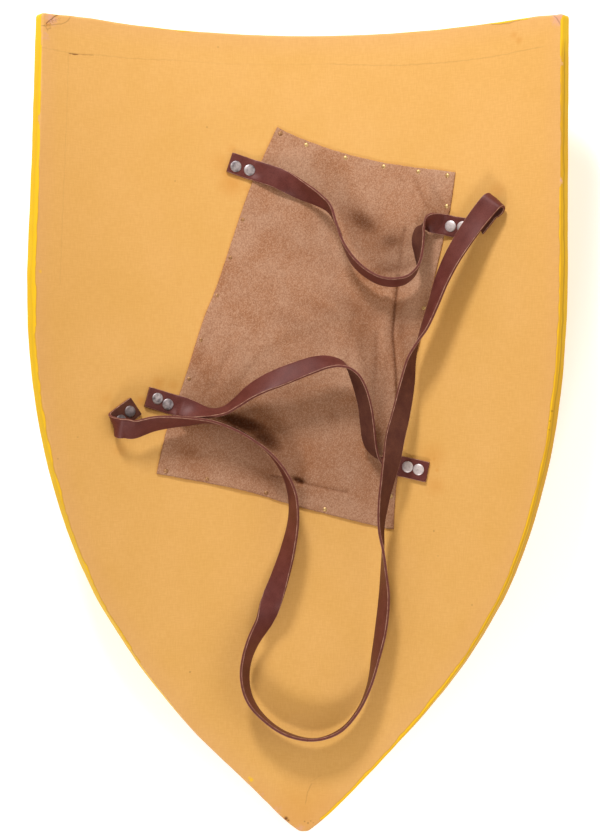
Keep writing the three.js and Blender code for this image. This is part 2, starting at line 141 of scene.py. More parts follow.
# Marks on the back, in sheet millimetres. Lines are [points, strength]: painted shade along folds, the
# hem's step, slits and a crack. Specks, stains and rubs are [across, up, radius, strength]. A lap ends
# with how far the front's yellow reaches over the edge.
scars = {
    "lineReach": 3.5, "lapReach": 12, "farAway": 1e6,
    "bareBelow": {"from": -262, "over": 26, "rightTo": 2, "tip": -376},
    "lines": [
        [[[-260, 357.2], [-230, 355.7], [-199, 357.7], [-168, 358.1], [-123, 360]], 0.1],
        [[[-230.1, 355.3], [-226, 355.4], [-221.7, 355.9]], 0.95],
        [[[-221.7, 355.9], [-212, 356.6], [-205, 357.2]], 0.5],
        [[[29, 360.3], [98, 356.5], [148, 356.1], [188.5, 356.9], [240.7, 359.9]], 0.13],
        [[[-123, 360], [-58.7, 359.5], [29.3, 360.3]], 0.04],
        [[[-231.7, 353.7], [-233.3, 302], [-236.5, 236.6], [-240.7, 143]], 0.07],
        [[[-256.8, 378], [-251.5, 383.5], [-245, 388.2]], 0.75],
        [[[-251.4, 378.8], [-240, 381.5], [-232.2, 385.3], [-230.5, 388.8]], 0.3],
        [[[-256.8, 378], [-254.5, 374], [-251.4, 376]], 0.3],
        [[[254.6, 387.5], [258, 384.5], [260.5, 381.2]], 0.4],
        [[[10.7, -343.3], [7.8, -350.1], [5.9, -358]], 0.2],
        [[[12.5, -339], [17, -336]], 0.07],
        [[[193.6, 387.2], [205, 386.6], [216.5, 387.6]], 0.3],
    ],
    "specks": [
        [-91.1, 297, 0.9, 0.35], [-80.3, 375.2, 0.9, 0.3], [-122.8, 243.4, 0.8, 0.35],
        [-107.9, -230.6, 0.9, 0.45], [131.8, -93.8, 0.8, 0.45], [135.8, -117.7, 0.7, 0.3],
        [170.1, -163.3, 0.9, 0.35], [4.5, -379, 0.8, 0.5], [7.8, -380.5, 0.9, 0.55],
        [10.5, -378.5, 0.7, 0.45], [13, -380.2, 0.7, 0.35], [-13.6, -376, 1.9, 1.0],
        [-11.4, -378, 1.2, 0.8], [-243, -23, 0.8, 0.35], [-222, -3, 0.7, 0.3],
        [253.2, 21.3, 0.9, 0.6], [251.2, 12, 0.8, 0.5], [250.2, 4, 0.7, 0.4],
    ],
    "drips": [[-47.6, -337.6, 1.9, 1.0], [-49.5, -335.6, 1.3, 0.8], [-262, 150, 1.6, 0.6]],
    "nicks": [[-15.2, -375.4, 1.8, 1.0], [-12.4, -377.6, 1.8, 1.0]],
    # the spots round the strap ends and the long strap's folds are painted contact shade; the others
    # are stains, three of them darkening the tip
    "stainsAndContactShade": [
        [213.3, 374.8, 3.2, 0.4], [218.6, 369.4, 3.4, 0.4], [-66.5, 243, 12, 0.5],
        [-78, 262, 10, 0.25], [130, -22, 12, 0.35], [133, -50, 9, 0.35], [-40, -352, 12, 0.2],
        [20, -362, 20, 0.3], [0, -372, 32, 0.35], [-254, 380, 3, 0.7], [-248, 385, 3, 0.6],
        [-62.6, 242.6, 5, 0.5], [-72.4, 252.1, 5, 0.45], [-66.5, 276.6, 4, 0.3],
        [-52.8, 239.0, 4, 0.35], [-139.8, 48.5, 6, 0.45], [-156.9, 31.2, 5, 0.55],
        [-124.8, 46.7, 5, 0.35], [-178.3, -14.6, 7, 0.3], [131.8, -24.5, 2.2, 0.6],
        [134.8, -35.1, 2.2, 0.5], [195.7, 230.4, 7, 0.3], [-192.6, 33.8, 6, 0.25],
    ],
    "rubs": [
        [-250, 385, 10, 1.0], [-256, 368, 8, 0.8], [-262, 352, 6, 0.7], [261, 384, 11, 1.1],
        [263.3, 234, 2, 1.2], [0, -386, 9, 0.8], [-22, -368, 8, 0.8], [-36, -352, 5, 0.7],
        [150, 385, 6, 0.6], [-258, -4, 5, 0.8], [-243, 10, 4, 0.6],
    ],
    "laps": [
        [[26, -367], [43, -354], [74, -325], [103, -292], [146, -240], 3.1],
        [[-161, 389.3], [-140, 389], [-110, 388], 0.7],
        [[88, 388.2], [127.8, 387.6], [168, 388.6], 0.9],
        [[193.6, 388.5], [216.5, 388.5], 1.5],
        [[-272, 372], [-273, 300], 1.3],
        [[-274, 284], [-275, 200], [-273, 110], 2.0],
        [[-272, 94], [-262, 20], [-249, -40], 1.0],
        [[-240, -60], [-205, -150], [-165, -210], 0.6],
        [[274, 378], [274, 350], 2.6],
        [[274, 334], [274, 240], 1.4],
        [[273, 224], [271, 130], [262, 20], [245, -60], [212, -140], [170, -210], [158, -226], 2.3],
    ],
}


# Emulsion brushed over cotton canvas: flat and chalky, with the fine weave just showing through, a
# warm bloom in the brush marks and every small scar of a hand-finished board
backPaint = {
    "colour": "#e0ad5f", "pale": "#e4b166", "deep": "#c98c3f", "worn": "#dca686", "stainAndContactShade": "#d08d3a",
    "scarAndCreaseShade": "#6b3c14", "seam": "#bb8324", "overlap": "#f2c01a", "overlapPaintedShade": "#d09a18",
    "roughness": 0.68, "ior": 1.48, "specular": 0.3,
    "threadMm": 1.15, "threadLengthMm": 8.2143, "cloudMm": 77, "rubMm": 3.3333, "raggedMm": 20,
    "wanderMm": 6.25, "gritMm": 2.5,
    "cloudSpan": span(0.36, 0.64), "threadSpan": span(0.8, 1.25, 0.22, 0),
    "rimSpan": span(1, 22, 0.14, 0), "rubSpan": span(0.3, 0.5), "lapReach": span(0.3, 0.7, -0.9, 0.9),
    "lapSpan": span(-0.25, 0.25), "cornerSpan": span(0.9, 1.5, 0.8, 0), "rightSpan": span(60, 180),
    "seamSpan": span(0.1, 0.75, 0.5, 0), "wander": span(0, 1, -1.3, 1.3),
    "lineSpan": {**span(0.1, 0.95, 1, 0), "interpolation_type": "SMOOTHSTEP"},
    "weaveBump": {"Strength": 0.16, "Distance": 0.0003},
    "gritBump": {"Strength": 0.2, "Distance": 0.0004},
}
belowTop = span(366, 350)  # the painted shade on the rim's lap and crease, and the darker band past the crease, stop short of the top corners
spotReach = 1.7  # a spot fades out at this many of its radii


def nearSpots(tree, sheet, spots):
    total = None
    for across, up, radius, strength in spots:
        apart = addNode(tree, "ShaderNodeVectorMath", {"operation": "DISTANCE", 1: (across, up, 0)},
                        {0: sheet}).outputs["Value"]
        fade = {**span(0, spotReach * radius, strength, 0), "interpolation_type": "SMOOTHSTEP"}
        share = addNode(tree, "ShaderNodeMapRange", fade, {"Value": apart}).outputs[0]
        if total is not None:
            share = addNode(tree, "ShaderNodeMath", {"operation": "MAXIMUM"},
                            {0: total, 1: share}).outputs[0]
        total = share
    return total


def makeBackPaint():
    p = backPaint
    material, tree, shader = startMaterial("matteEmulsionOnCanvas")
    across, up, inward, lapPlace, lineSide, lineShow = (
        addNode(tree, "ShaderNodeAttribute", {"attribute_name": key}).outputs["Fac"]
        for key in ("across", "up", "inward", "lap", "lineSide", "lineShow"))
    sheet = addNode(tree, "ShaderNodeCombineXYZ", links={"X": across, "Y": up}).outputs[0]

    # threads: two noises, each stretched along one direction of the cloth
    thin, long_ = 1 / p["threadMm"], 1 / p["threadLengthMm"]
    threads = []
    for stretch in ((thin, long_, 1), (long_, thin, 1)):
        place = addNode(tree, "ShaderNodeVectorMath", {"operation": "MULTIPLY", 1: stretch},
                        {0: sheet}).outputs[0]
        threads.append(addNode(tree, "ShaderNodeTexNoise", {"Scale": 1.0, "Detail": 1.0},
                               {"Vector": place}).outputs["Fac"])
    weave = addNode(tree, "ShaderNodeMath", {"operation": "ADD"},
                    {0: threads[0], 1: threads[1]}).outputs[0]
    threadDark = addNode(tree, "ShaderNodeMapRange", p["threadSpan"], {"Value": weave}).outputs[0]

    cloud = addNode(tree, "ShaderNodeTexNoise",
                    {"Scale": 1 / p["cloudMm"], "Detail": 4.0, "Roughness": 0.6},
                    {"Vector": sheet}).outputs["Fac"]
    cloudShare = addNode(tree, "ShaderNodeMapRange", p["cloudSpan"], {"Value": cloud}).outputs[0]
    tone = addNode(tree, "ShaderNodeMix",
                   {"data_type": "RGBA", 6: linearColour(p["pale"]), 7: linearColour(p["colour"])},
                   {0: cloudShare}).outputs[2]

    # a pinker bloom where the brush ran dry towards the rims, and places rubbed down to raw cloth
    rimNear = addNode(tree, "ShaderNodeMapRange", p["rimSpan"], {"Value": inward}).outputs[0]
    # stains, with painted contact shade round the strap ends and folds
    stainAndContactShade = nearSpots(tree, sheet, scars["stainsAndContactShade"])
    rubNoise = addNode(tree, "ShaderNodeTexNoise",
                       {"Scale": 1 / p["rubMm"], "Detail": 5.0, "Roughness": 0.65},
                       {"Vector": sheet}).outputs["Fac"]
    rubbed = addNode(tree, "ShaderNodeMath", {"operation": "MULTIPLY"},
                     {0: rubNoise, 1: nearSpots(tree, sheet, scars["rubs"])}).outputs[0]
    rubShare = addNode(tree, "ShaderNodeMapRange", p["rubSpan"], {"Value": rubbed}).outputs[0]

    # the front's enamel laps raggedly over the edge where the brush strayed; at the right its inner
    # corner is painted darker as shade
    ragged = addNode(tree, "ShaderNodeTexNoise", {"Scale": 1 / p["raggedMm"], "Detail": 3.0},
                     {"Vector": sheet}).outputs["Fac"]
    lapReach = addNode(tree, "ShaderNodeMapRange", p["lapReach"], {"Value": ragged}).outputs[0]
    lapEdge = addNode(tree, "ShaderNodeMath", {"operation": "ADD"},
                      {0: lapReach, 1: lapPlace}).outputs[0]
    lap = addNode(tree, "ShaderNodeMapRange", p["lapSpan"], {"Value": lapEdge}).outputs[0]
    # painted shade on the lap's rounded corner along the right side, fading out below the top
    shade = lap
    for settings, source in ((p["cornerSpan"], inward), (p["rightSpan"], across), (belowTop, up)):
        share = addNode(tree, "ShaderNodeMapRange", settings, {"Value": source}).outputs[0]
        shade = addNode(tree, "ShaderNodeMath", {"operation": "MULTIPLY"},
                        {0: shade, 1: share}).outputs[0]
    seamNear = addNode(tree, "ShaderNodeMath", {"operation": "ABSOLUTE"}, {0: lapEdge}).outputs[0]
    seam = addNode(tree, "ShaderNodeMapRange", p["seamSpan"], {"Value": seamNear}).outputs[0]

    # the shade in folds, the hem's step and slits is painted as fine wandering dark lines, specks are
    # small dark spots
    wanderNoise = addNode(tree, "ShaderNodeTexNoise", {"Scale": 1 / p["wanderMm"], "Detail": 3.0},
                          {"Vector": sheet}).outputs["Fac"]
    wander = addNode(tree, "ShaderNodeMapRange", p["wander"], {"Value": wanderNoise}).outputs[0]
    lineApart = addNode(tree, "ShaderNodeMath", {"operation": "ADD"},
                        {0: lineSide, 1: wander}).outputs[0]
    lineNear = addNode(tree, "ShaderNodeMath", {"operation": "ABSOLUTE"}, {0: lineApart}).outputs[0]
    lineCore = addNode(tree, "ShaderNodeMapRange", p["lineSpan"], {"Value": lineNear}).outputs[0]
    line = addNode(tree, "ShaderNodeMath", {"operation": "MULTIPLY"},
                   {0: lineCore, 1: lineShow}).outputs[0]
    dark = addNode(tree, "ShaderNodeMath", {"operation": "MAXIMUM"},
                   {0: line, 1: nearSpots(tree, sheet, scars["specks"])}).outputs[0]

    for share, colour in ((threadDark, "deep"), (rimNear, "worn"), (stainAndContactShade, "stainAndContactShade"), (rubShare, "worn"),
                          (lap, "overlap"), (shade, "overlapPaintedShade"), (seam, "seam"),
                          (nearSpots(tree, sheet, scars["drips"]), "overlap"), (dark, "scarAndCreaseShade")):
        tone = addNode(tree, "ShaderNodeMix", {"data_type": "RGBA", 7: linearColour(p[colour])},
                       {0: share, 6: tone}).outputs[2]

    grit = addNode(tree, "ShaderNodeTexNoise",
                   {"Scale": 1 / p["gritMm"], "Detail": 5.0, "Roughness": 0.6},
                   {"Vector": sheet}).outputs["Fac"]
    weaveBump = addNode(tree, "ShaderNodeBump", p["weaveBump"], {"Height": weave}).outputs[0]
    gritBump = addNode(tree, "ShaderNodeBump", p["gritBump"],
                       {"Height": grit, "Normal": weaveBump}).outputs[0]
    tree.links.new(tone, shader.inputs["Base Color"])
    tree.links.new(gritBump, shader.inputs["Normal"])
    shader.inputs["Roughness"].default_value = p["roughness"]
    shader.inputs["IOR"].default_value = p["ior"]
    shader.inputs["Specular IOR Level"].default_value = p["specular"]
    return material


# Enamel over the same canvas: deep warm yellow, soft lights, one wavy lap crease along the edge
enamel = {
    "colour": "#eec112", "deep": "#e6b306", "creaseShade": "#bc8e00", "lap": "#c88f18", "bare": "#d59c66",
    "nick": "#5a3a10", "roughness": 0.42, "ior": 1.5, "specular": 0.1,
    "cloudMm": 71.43, "waveMm": 50, "lumpMm": 11.11, "clothMm": 1.613,
    "cloudSpan": span(0.35, 0.75), "creaseReach": span(0, 1, -9.4, -1.4),
    "creaseSpan": span(0.6, 1.9, 1, 0),
    "sideSpan": span(-60, 60, 0.12, 0.85), "darkBandSpan": span(0, 0.8),
    "darkBandMost": span(90, -20, 0.3, 0.85),
    "lumpBump": {"Strength": 0.4, "Distance": 0.001},
    "clothBump": {"Strength": 0.12, "Distance": 0.0003},
}


def makeEnamel():
    p = enamel
    material, tree, shader = startMaterial("enamelOnCanvas")
    place = addNode(tree, "ShaderNodeTexCoord").outputs["Object"]
    depth, across, up, bare = (addNode(tree, "ShaderNodeAttribute",
                                       {"attribute_name": key}).outputs["Fac"]
                               for key in ("wrap", "across", "up", "bare"))
    cloud, wave, lumps, cloth = (
        addNode(tree, "ShaderNodeTexNoise", {"Scale": 1000 / p[size], "Detail": detail},
                {"Vector": place}).outputs["Fac"]
        for size, detail in (("cloudMm", 4.0), ("waveMm", 3.0), ("lumpMm", 3.0), ("clothMm", 2.0)))
    cloudShare = addNode(tree, "ShaderNodeMapRange", p["cloudSpan"], {"Value": cloud}).outputs[0]
    tone = addNode(tree, "ShaderNodeMix",
                   {"data_type": "RGBA", 6: linearColour(p["colour"]), 7: linearColour(p["deep"])},
                   {0: cloudShare}).outputs[2]

    # the crease's dark line is painted shade in the lap crease: strong along the right rim, barely
    # showing on the left
    shift = addNode(tree, "ShaderNodeMapRange", p["creaseReach"], {"Value": wave}).outputs[0]
    line = addNode(tree, "ShaderNodeMath", {"operation": "ADD"}, {0: depth, 1: shift}).outputs[0]
    near = addNode(tree, "ShaderNodeMath", {"operation": "ABSOLUTE"}, {0: line}).outputs[0]
    creaseShade = addNode(tree, "ShaderNodeMapRange", p["creaseSpan"], {"Value": near}).outputs[0]
    rightRim = addNode(tree, "ShaderNodeMapRange", p["sideSpan"], {"Value": across}).outputs[0]
    underTop = addNode(tree, "ShaderNodeMapRange", belowTop, {"Value": up}).outputs[0]
    side = addNode(tree, "ShaderNodeMath", {"operation": "MULTIPLY"},
                   {0: rightRim, 1: underTop}).outputs[0]
    # past the crease the right rim is painted darker, more so towards the tip
    darkBandMost = addNode(tree, "ShaderNodeMapRange", p["darkBandMost"], {"Value": up}).outputs[0]
    darkBand = addNode(tree, "ShaderNodeMapRange", p["darkBandSpan"],
                   {"Value": line, "To Max": darkBandMost}).outputs[0]
    creaseDark, darkBandShare = (
        addNode(tree, "ShaderNodeMath", {"operation": "MULTIPLY"}, {0: share, 1: side}).outputs[0]
        for share in (creaseShade, darkBand))
    sheet = addNode(tree, "ShaderNodeCombineXYZ", links={"X": across, "Y": up}).outputs[0]
    # the lap colour is the darker band past the crease
    for share, colour in ((creaseDark, "creaseShade"), (darkBandShare, "lap"), (bare, "bare"),
                          (nearSpots(tree, sheet, scars["nicks"]), "nick")):
        tone = addNode(tree, "ShaderNodeMix", {"data_type": "RGBA", 7: linearColour(p[colour])},
                       {0: share, 6: tone}).outputs[2]

    lumpBump = addNode(tree, "ShaderNodeBump", p["lumpBump"], {"Height": lumps}).outputs[0]
    clothBump = addNode(tree, "ShaderNodeBump", p["clothBump"],
                        {"Height": cloth, "Normal": lumpBump}).outputs[0]
    tree.links.new(tone, shader.inputs["Base Color"])
    tree.links.new(clothBump, shader.inputs["Normal"])
    shader.inputs["Roughness"].default_value = p["roughness"]
    shader.inputs["IOR"].default_value = p["ior"]
    shader.inputs["Specular IOR Level"].default_value = p["specular"]
    return material


# Split suede, flesh side out: no shine, short nap brushed this way and that in light and dark patches,
# with painted shade under and between the straps and in the folds.
# The tufts are drawn at 0.88 mm, coarser than real nap, so that the grain shows in the picture.
suede = {
    "colour": "#a97757", "pale": "#ba9075", "deep": "#764322", "deepestShade": "#45210f", "fleck": "#673a20",
    "lint": "#d9b59c", "sheen": "#d9a888", "sheenWeight": 0.07, "sheenRoughness": 0.5,
    "roughness": 0.95, "specular": 0.15, "napMm": 1.2, "tuftMm": 0.88, "patchMm": 45.45,
    "clumpMm": 3.3333,
    "patchSpan": span(0.34, 0.68), "deepestShadeSpan": span(0.42, 0.95, 0, 0.9),
    "clumpSpan": span(0.45, 0.75, 0, 0.24),
    "fleckSpan": span(0.45, 0.9, 0, 0.27), "lintSpan": span(0.5, 0.15),
    "lintMost": span(0, 1, 0.25, 0.07),
    "napBump": {"Strength": 0.45, "Distance": 0.0005},
    "clumpBump": {"Strength": 0.3, "Distance": 0.001},
}


def makeSuede():
    p = suede
    material, tree, shader = startMaterial("nappedSuedeSplit")
    across, up, napAndShade = (addNode(tree, "ShaderNodeAttribute", {"attribute_name": key}).outputs["Fac"]
                           for key in ("across", "up", "napAndShade"))
    sheet = addNode(tree, "ShaderNodeCombineXYZ", links={"X": across, "Y": up}).outputs[0]
    nap, clump, patch = (
        addNode(tree, "ShaderNodeTexNoise",
                {"Scale": 1 / p[size], "Detail": detail, "Roughness": roughness,
                 "Distortion": distortion}, {"Vector": sheet}).outputs["Fac"]
        for size, detail, roughness, distortion in (("napMm", 2.0, 0.6, 0.0),
                                                    ("clumpMm", 3.0, 0.6, 0.0),
                                                    ("patchMm", 3.0, 0.55, 0.4)))
    tuft = addNode(tree, "ShaderNodeTexVoronoi",
                   {"voronoi_dimensions": "2D", "Scale": 1 / p["tuftMm"]},
                   {"Vector": sheet}).outputs["Color"]
    patchShare, deepestShade, clumpShare, fleck, lintMost = (
        addNode(tree, "ShaderNodeMapRange", p[key], {"Value": source}).outputs[0]
        for key, source in (("patchSpan", patch), ("deepestShadeSpan", napAndShade), ("clumpSpan", clump),
                            ("fleckSpan", tuft), ("lintMost", napAndShade)))
    lint = addNode(tree, "ShaderNodeMapRange", p["lintSpan"],
                   {"Value": tuft, "To Max": lintMost}).outputs[0]
    tone = addNode(tree, "ShaderNodeMix",
                   {"data_type": "RGBA", 6: linearColour(p["pale"]), 7: linearColour(p["colour"])},
                   {0: patchShare}).outputs[2]
    # painted shade under and between the straps and in the folds: the deep tone, then the deepest where
    # strongest
    for share, colour in ((napAndShade, "deep"), (deepestShade, "deepestShade"), (clumpShare, "deep"), (fleck, "fleck"),
                          (lint, "lint")):
        tone = addNode(tree, "ShaderNodeMix", {"data_type": "RGBA", 7: linearColour(p[colour])},
                       {0: share, 6: tone}).outputs[2]
    napBump = addNode(tree, "ShaderNodeBump", p["napBump"], {"Height": nap}).outputs[0]
    clumpBump = addNode(tree, "ShaderNodeBump", p["clumpBump"],
                        {"Height": clump, "Normal": napBump}).outputs[0]
    tree.links.new(tone, shader.inputs["Base Color"])
    tree.links.new(clumpBump, shader.inputs["Normal"])
    shader.inputs["Roughness"].default_value = p["roughness"]
    shader.inputs["Specular IOR Level"].default_value = p["specular"]
    shader.inputs["Sheen Weight"].default_value = p["sheenWeight"]
    shader.inputs["Sheen Roughness"].default_value = p["sheenRoughness"]
    shader.inputs["Sheen Tint"].default_value = linearColour(p["sheen"])
    return material


# Vegetable-tanned strap leather, dyed and waxed, in three faces: the grain with a soft pinkish shine,
# the matte fibrous flesh side, and the cut edge, whose two sharp corners the dye misses
leather = {
    "ior": 1.5, "specular": 0.34, "shine": "#ffe4e4", "cloudMm": 14.286, "patchyMm": 4.762,
    "cloudSpan": span(0.35, 0.7), "poreSpan": span(0.45, 0.7, 0, 0.5),
    "rawSpan": span(0.38, 0.62, 0.3, 0.9),
    "cornerSpan": span(0.6, 0.95), "roughnessSpread": [-0.08, 0.1], "bumpDistance": 0.0003,
}
leatherFaces = {
    "waxedStrapGrain": {"colour": "#5b2a26", "pale": "#6c3833", "deep": "#3c1715", "roughness": 0.46,
                        "poreMm": 1.3, "bump": 0.25},
    "strapFleshSide": {"colour": "#512a21", "pale": "#643b2c", "deep": "#371d16", "roughness": 0.85,
                       "poreMm": 1.0, "bump": 0.6},
    "dyedCutEdge": {"colour": "#6a3b31", "pale": "#6c3833", "deep": "#3c1715", "raw": "#c49a83",
                    "roughness": 0.75, "poreMm": 0.8, "bump": 0.5},
}


def makeLeather(name, face):
    p = leather
    material, tree, shader = startMaterial(name)
    alongStrap, aside, through = (
        addNode(tree, "ShaderNodeAttribute", {"attribute_name": key}).outputs["Fac"]
        for key in ("along", "aside", "through"))
    sheet = addNode(tree, "ShaderNodeCombineXYZ", links={"X": alongStrap, "Y": aside}).outputs[0]
    pore, cloud, patchy = (
        addNode(tree, "ShaderNodeTexNoise",
                {"Scale": 1 / size, "Detail": detail, "Roughness": roughness},
                {"Vector": sheet}).outputs["Fac"]
        for size, detail, roughness in ((face["poreMm"], 5.0, 0.7), (p["cloudMm"], 4.0, 0.6),
                                        (p["patchyMm"], 3.0, 0.5)))
    cloudShare, poreShare, rawShare = (
        addNode(tree, "ShaderNodeMapRange", p[key], {"Value": source}).outputs[0]
        for key, source in (("cloudSpan", cloud), ("poreSpan", pore), ("rawSpan", patchy)))
    tone = addNode(tree, "ShaderNodeMix",
                   {"data_type": "RGBA", 6: linearColour(face["colour"]),
                    7: linearColour(face["pale"])},
                   {0: cloudShare}).outputs[2]
    layers = [(poreShare, "deep")]
    if "raw" in face:
        outer = addNode(tree, "ShaderNodeMath", {"operation": "ABSOLUTE"}, {0: through}).outputs[0]
        corners = addNode(tree, "ShaderNodeMapRange", p["cornerSpan"], {"Value": outer}).outputs[0]
        layers.append((addNode(tree, "ShaderNodeMath", {"operation": "MULTIPLY"},
                               {0: corners, 1: rawShare}).outputs[0], "raw"))
    for share, colour in layers:
        tone = addNode(tree, "ShaderNodeMix", {"data_type": "RGBA", 7: linearColour(face[colour])},
                       {0: share, 6: tone}).outputs[2]
    smoothest, roughest = (face["roughness"] + change for change in p["roughnessSpread"])
    rough = addNode(tree, "ShaderNodeMapRange", span(0, 1, smoothest, roughest),
                    {"Value": cloud}).outputs[0]
    poreBump = addNode(tree, "ShaderNodeBump",
                       {"Strength": face["bump"], "Distance": p["bumpDistance"]},
                       {"Height": pore}).outputs[0]
    tree.links.new(tone, shader.inputs["Base Color"])
    tree.links.new(rough, shader.inputs["Roughness"])
    tree.links.new(poreBump, shader.inputs["Normal"])
    shader.inputs["IOR"].default_value = p["ior"]
    shader.inputs["Specular IOR Level"].default_value = p["specular"]
    shader.inputs["Specular Tint"].default_value = linearColour(p["shine"])
    return material


metals = {
    # nickel-plated steel, tumbled and handled: soft pale reflections with a faint mottle
    "tumbledNickelPlate": {"colour": "#e2d8da", "worn": "#c2b6b9", "roughness": 0.44, "metallic": 0.6,
                           "mottleMm": 3},
    # the heads at the left ends are greyer and bluish, with darker patches
    "greyNickelPlate": {"colour": "#c2b9bd", "worn": "#756d72", "roughness": 0.45,
                             "metallic": 0.8, "mottleMm": 4},
    # the two under the long strap's left fold are painted darkest, as the shade they lie in
    "shadedNickelPlate": {"colour": "#8f8487", "worn": "#5c5457", "roughness": 0.52, "metallic": 0.8,
                        "mottleMm": 4},
    # brass tack heads: a soft gold dot along the top; those at the bottom and left are darker and
    # duller
    "tackBrass": {"colour": "#e6c68e", "worn": "#a37f52", "roughness": 0.5, "metallic": 1,
                  "mottleMm": 1.5},
    "dulledBrass": {"colour": "#c39a72", "worn": "#8a5f3b", "roughness": 0.65, "metallic": 1,
                    "mottleMm": 1.5},
}
mottle = {"span": span(0.4, 0.68), "roughnessSpread": [-0.08, 0.12],
          "bump": {"Strength": 0.15, "Distance": 0.0002}}


def makeMetal(name, metal):
    material, tree, shader = startMaterial(name)
    place = addNode(tree, "ShaderNodeTexCoord").outputs["Object"]
    spots = addNode(tree, "ShaderNodeTexNoise", {"Scale": 1000 / metal["mottleMm"], "Detail": 4.0},
                    {"Vector": place}).outputs["Fac"]
    wornShare = addNode(tree, "ShaderNodeMapRange", mottle["span"], {"Value": spots}).outputs[0]
    tone = addNode(tree, "ShaderNodeMix",
                   {"data_type": "RGBA", 6: linearColour(metal["colour"]),
                    7: linearColour(metal["worn"])},
                   {0: wornShare}).outputs[2]
    smoothest, roughest = (metal["roughness"] + change for change in mottle["roughnessSpread"])
    rough = addNode(tree, "ShaderNodeMapRange", span(0, 1, smoothest, roughest),
                    {"Value": spots}).outputs[0]
    dents = addNode(tree, "ShaderNodeBump", mottle["bump"], {"Height": spots}).outputs[0]
    tree.links.new(tone, shader.inputs["Base Color"])
    tree.links.new(rough, shader.inputs["Roughness"])
    tree.links.new(dents, shader.inputs["Normal"])
    shader.inputs["Metallic"].default_value = metal["metallic"]
    return material


paintMaterial, enamelMaterial, suedeMaterial = makeBackPaint(), makeEnamel(), makeSuede()
grainMaterial, fleshMaterial, edgeMaterial = (
    makeLeather(name, face) for name, face in leatherFaces.items())
metalMaterials = {name: makeMetal(name, metal) for name, metal in metals.items()}
print("materials made")


def catmullRom(points, perSpan):
    out = []
    last = len(points) - 1
    for i in range(last):
        p0, p1, p2, p3 = points[max(i - 1, 0)], points[i], points[i + 1], points[min(i + 2, last)]
        for k in range(perSpan):
            t = k / perSpan
            v0, v1 = (p2 - p0) * 0.5, (p3 - p1) * 0.5
            cubic = (2 * p1 - 2 * p2 + v0 + v1) * t ** 3
            square = (-3 * p1 + 3 * p2 - 2 * v0 - v1) * t ** 2
            out.append(cubic + square + v0 * t + p1)
    out.append(points[last])
    return np.array(out)


def evenly(points, count, closed=False):
    if closed:
        points = np.vstack([points, points[:1]])
    steps = np.linalg.norm(np.diff(points, axis=0), axis=1)
    length = np.concatenate([[0], np.cumsum(steps)])
    wanted = np.linspace(0, length[-1], count, endpoint=not closed)
    return np.stack([np.interp(wanted, length, points[:, k])
                     for k in range(points.shape[1])], axis=1)


def lookUp(table, x):
    rows = np.array(table, dtype=float)
    return np.interp(x, rows[:, 0], rows[:, 1])


def blurClosed(points, spacing, sigma):
    reach = int(4 * sigma / spacing) + 1
    weights = np.exp(-0.5 * (np.arange(-reach, reach + 1) * spacing / sigma) ** 2)
    weights /= weights.sum()
    out = np.zeros_like(points)
    for k, w in zip(range(-reach, reach + 1), weights):
        out += w * np.roll(points, k, axis=0)
    return out


def boardOutline():
    b = board
    share = np.array([[s * b["length"] - b["length"] / 2, g * b["girth"] / 2]
                      for s, g in b["outline"]])
    half = catmullRom(share, b["spanSteps"])
    up, girth = half[:, 0], half[:, 1] + lookUp(b["spread"], half[:, 0])
    right = np.stack([girth, up], axis=1)
    left = np.stack([-girth[::-1], up[::-1]], axis=1)
    topAcross = np.linspace(girth[-1], -girth[-1], b["topSteps"])[1:-1]
    top = np.stack([topAcross, np.full_like(topAcross, b["length"] / 2)], axis=1)
    loop = np.vstack([right, top, left])
    loop[:, 0] += lookUp(b["lean"], loop[:, 1])
    nearTop = np.clip((loop[:, 1] - b["riseFrom"]) / (b["length"] / 2 - b["riseFrom"]), 0, 1)
    loop[:, 1] += nearTop * lookUp(b["topRise"], loop[:, 0])
    fine = evenly(loop, b["fineSteps"], closed=True)
    fine = blurClosed(fine, b["fineStep"], b["cornerBlur"])
    return evenly(fine, b["aroundEdge"], closed=True)


def outwardNormals(loop):
    tangent = np.roll(loop, -1, axis=0) - np.roll(loop, 1, axis=0)
    tangent /= np.linalg.norm(tangent, axis=1)[:, None]
    return np.stack([tangent[:, 1], -tangent[:, 0]], axis=1)


def distanceToLoop(points, loop):
    out = np.empty(len(points))
    for i in range(0, len(points), 2000):
        block = points[i:i + 2000]
        out[i:i + 2000] = np.sqrt(((block[:, None, :] - loop[None, :, :]) ** 2).sum(-1)).min(axis=1)
    return out


def sideOfLine(across, up, points):
    nearest, side = np.full(len(across), scars["farAway"]), np.zeros(len(across))
    for (ax, ay), (bx, by) in zip(points, points[1:]):
        dx, dy = bx - ax, by - ay
        share = np.clip(((across - ax) * dx + (up - ay) * dy) / (dx * dx + dy * dy), 0, 1)
        apart = np.hypot(across - ax - share * dx, up - ay - share * dy)
        closer = apart < nearest
        nearest[closer] = apart[closer]
        side[closer] = (((up - ay) * dx - (across - ax) * dy) / math.hypot(dx, dy))[closer]
    return nearest, side


def boardMarks(across, up, inward):
    count = len(across)
    nearestLine, lineSide = np.full(count, scars["farAway"]), np.full(count, 8.0)
    lineShow = np.zeros(count)
    for points, strength in scars["lines"]:
        apart, side = sideOfLine(across, up, points)
        closer = apart < nearestLine
        nearestLine[closer] = apart[closer]
        lineSide[closer] = side[closer]
        lineShow[closer] = (strength * np.clip(1.6 - apart / scars["lineReach"], 0, 1))[closer]
    lap = np.full(count, -4.0)
    for *points, reach in scars["laps"]:
        near, _ = sideOfLine(across, up, points)
        lap = np.maximum(lap, np.where(near < scars["lapReach"], reach - inward, -4.0))
    below = scars["bareBelow"]
    bare = np.clip((below["from"] - up) / below["over"], 0, 1)
    bare *= (across < below["rightTo"]) | (up < below["tip"])
    return {"lineSide": np.clip(lineSide, -8, 8), "lineShow": lineShow, "lap": lap, "bare": bare}


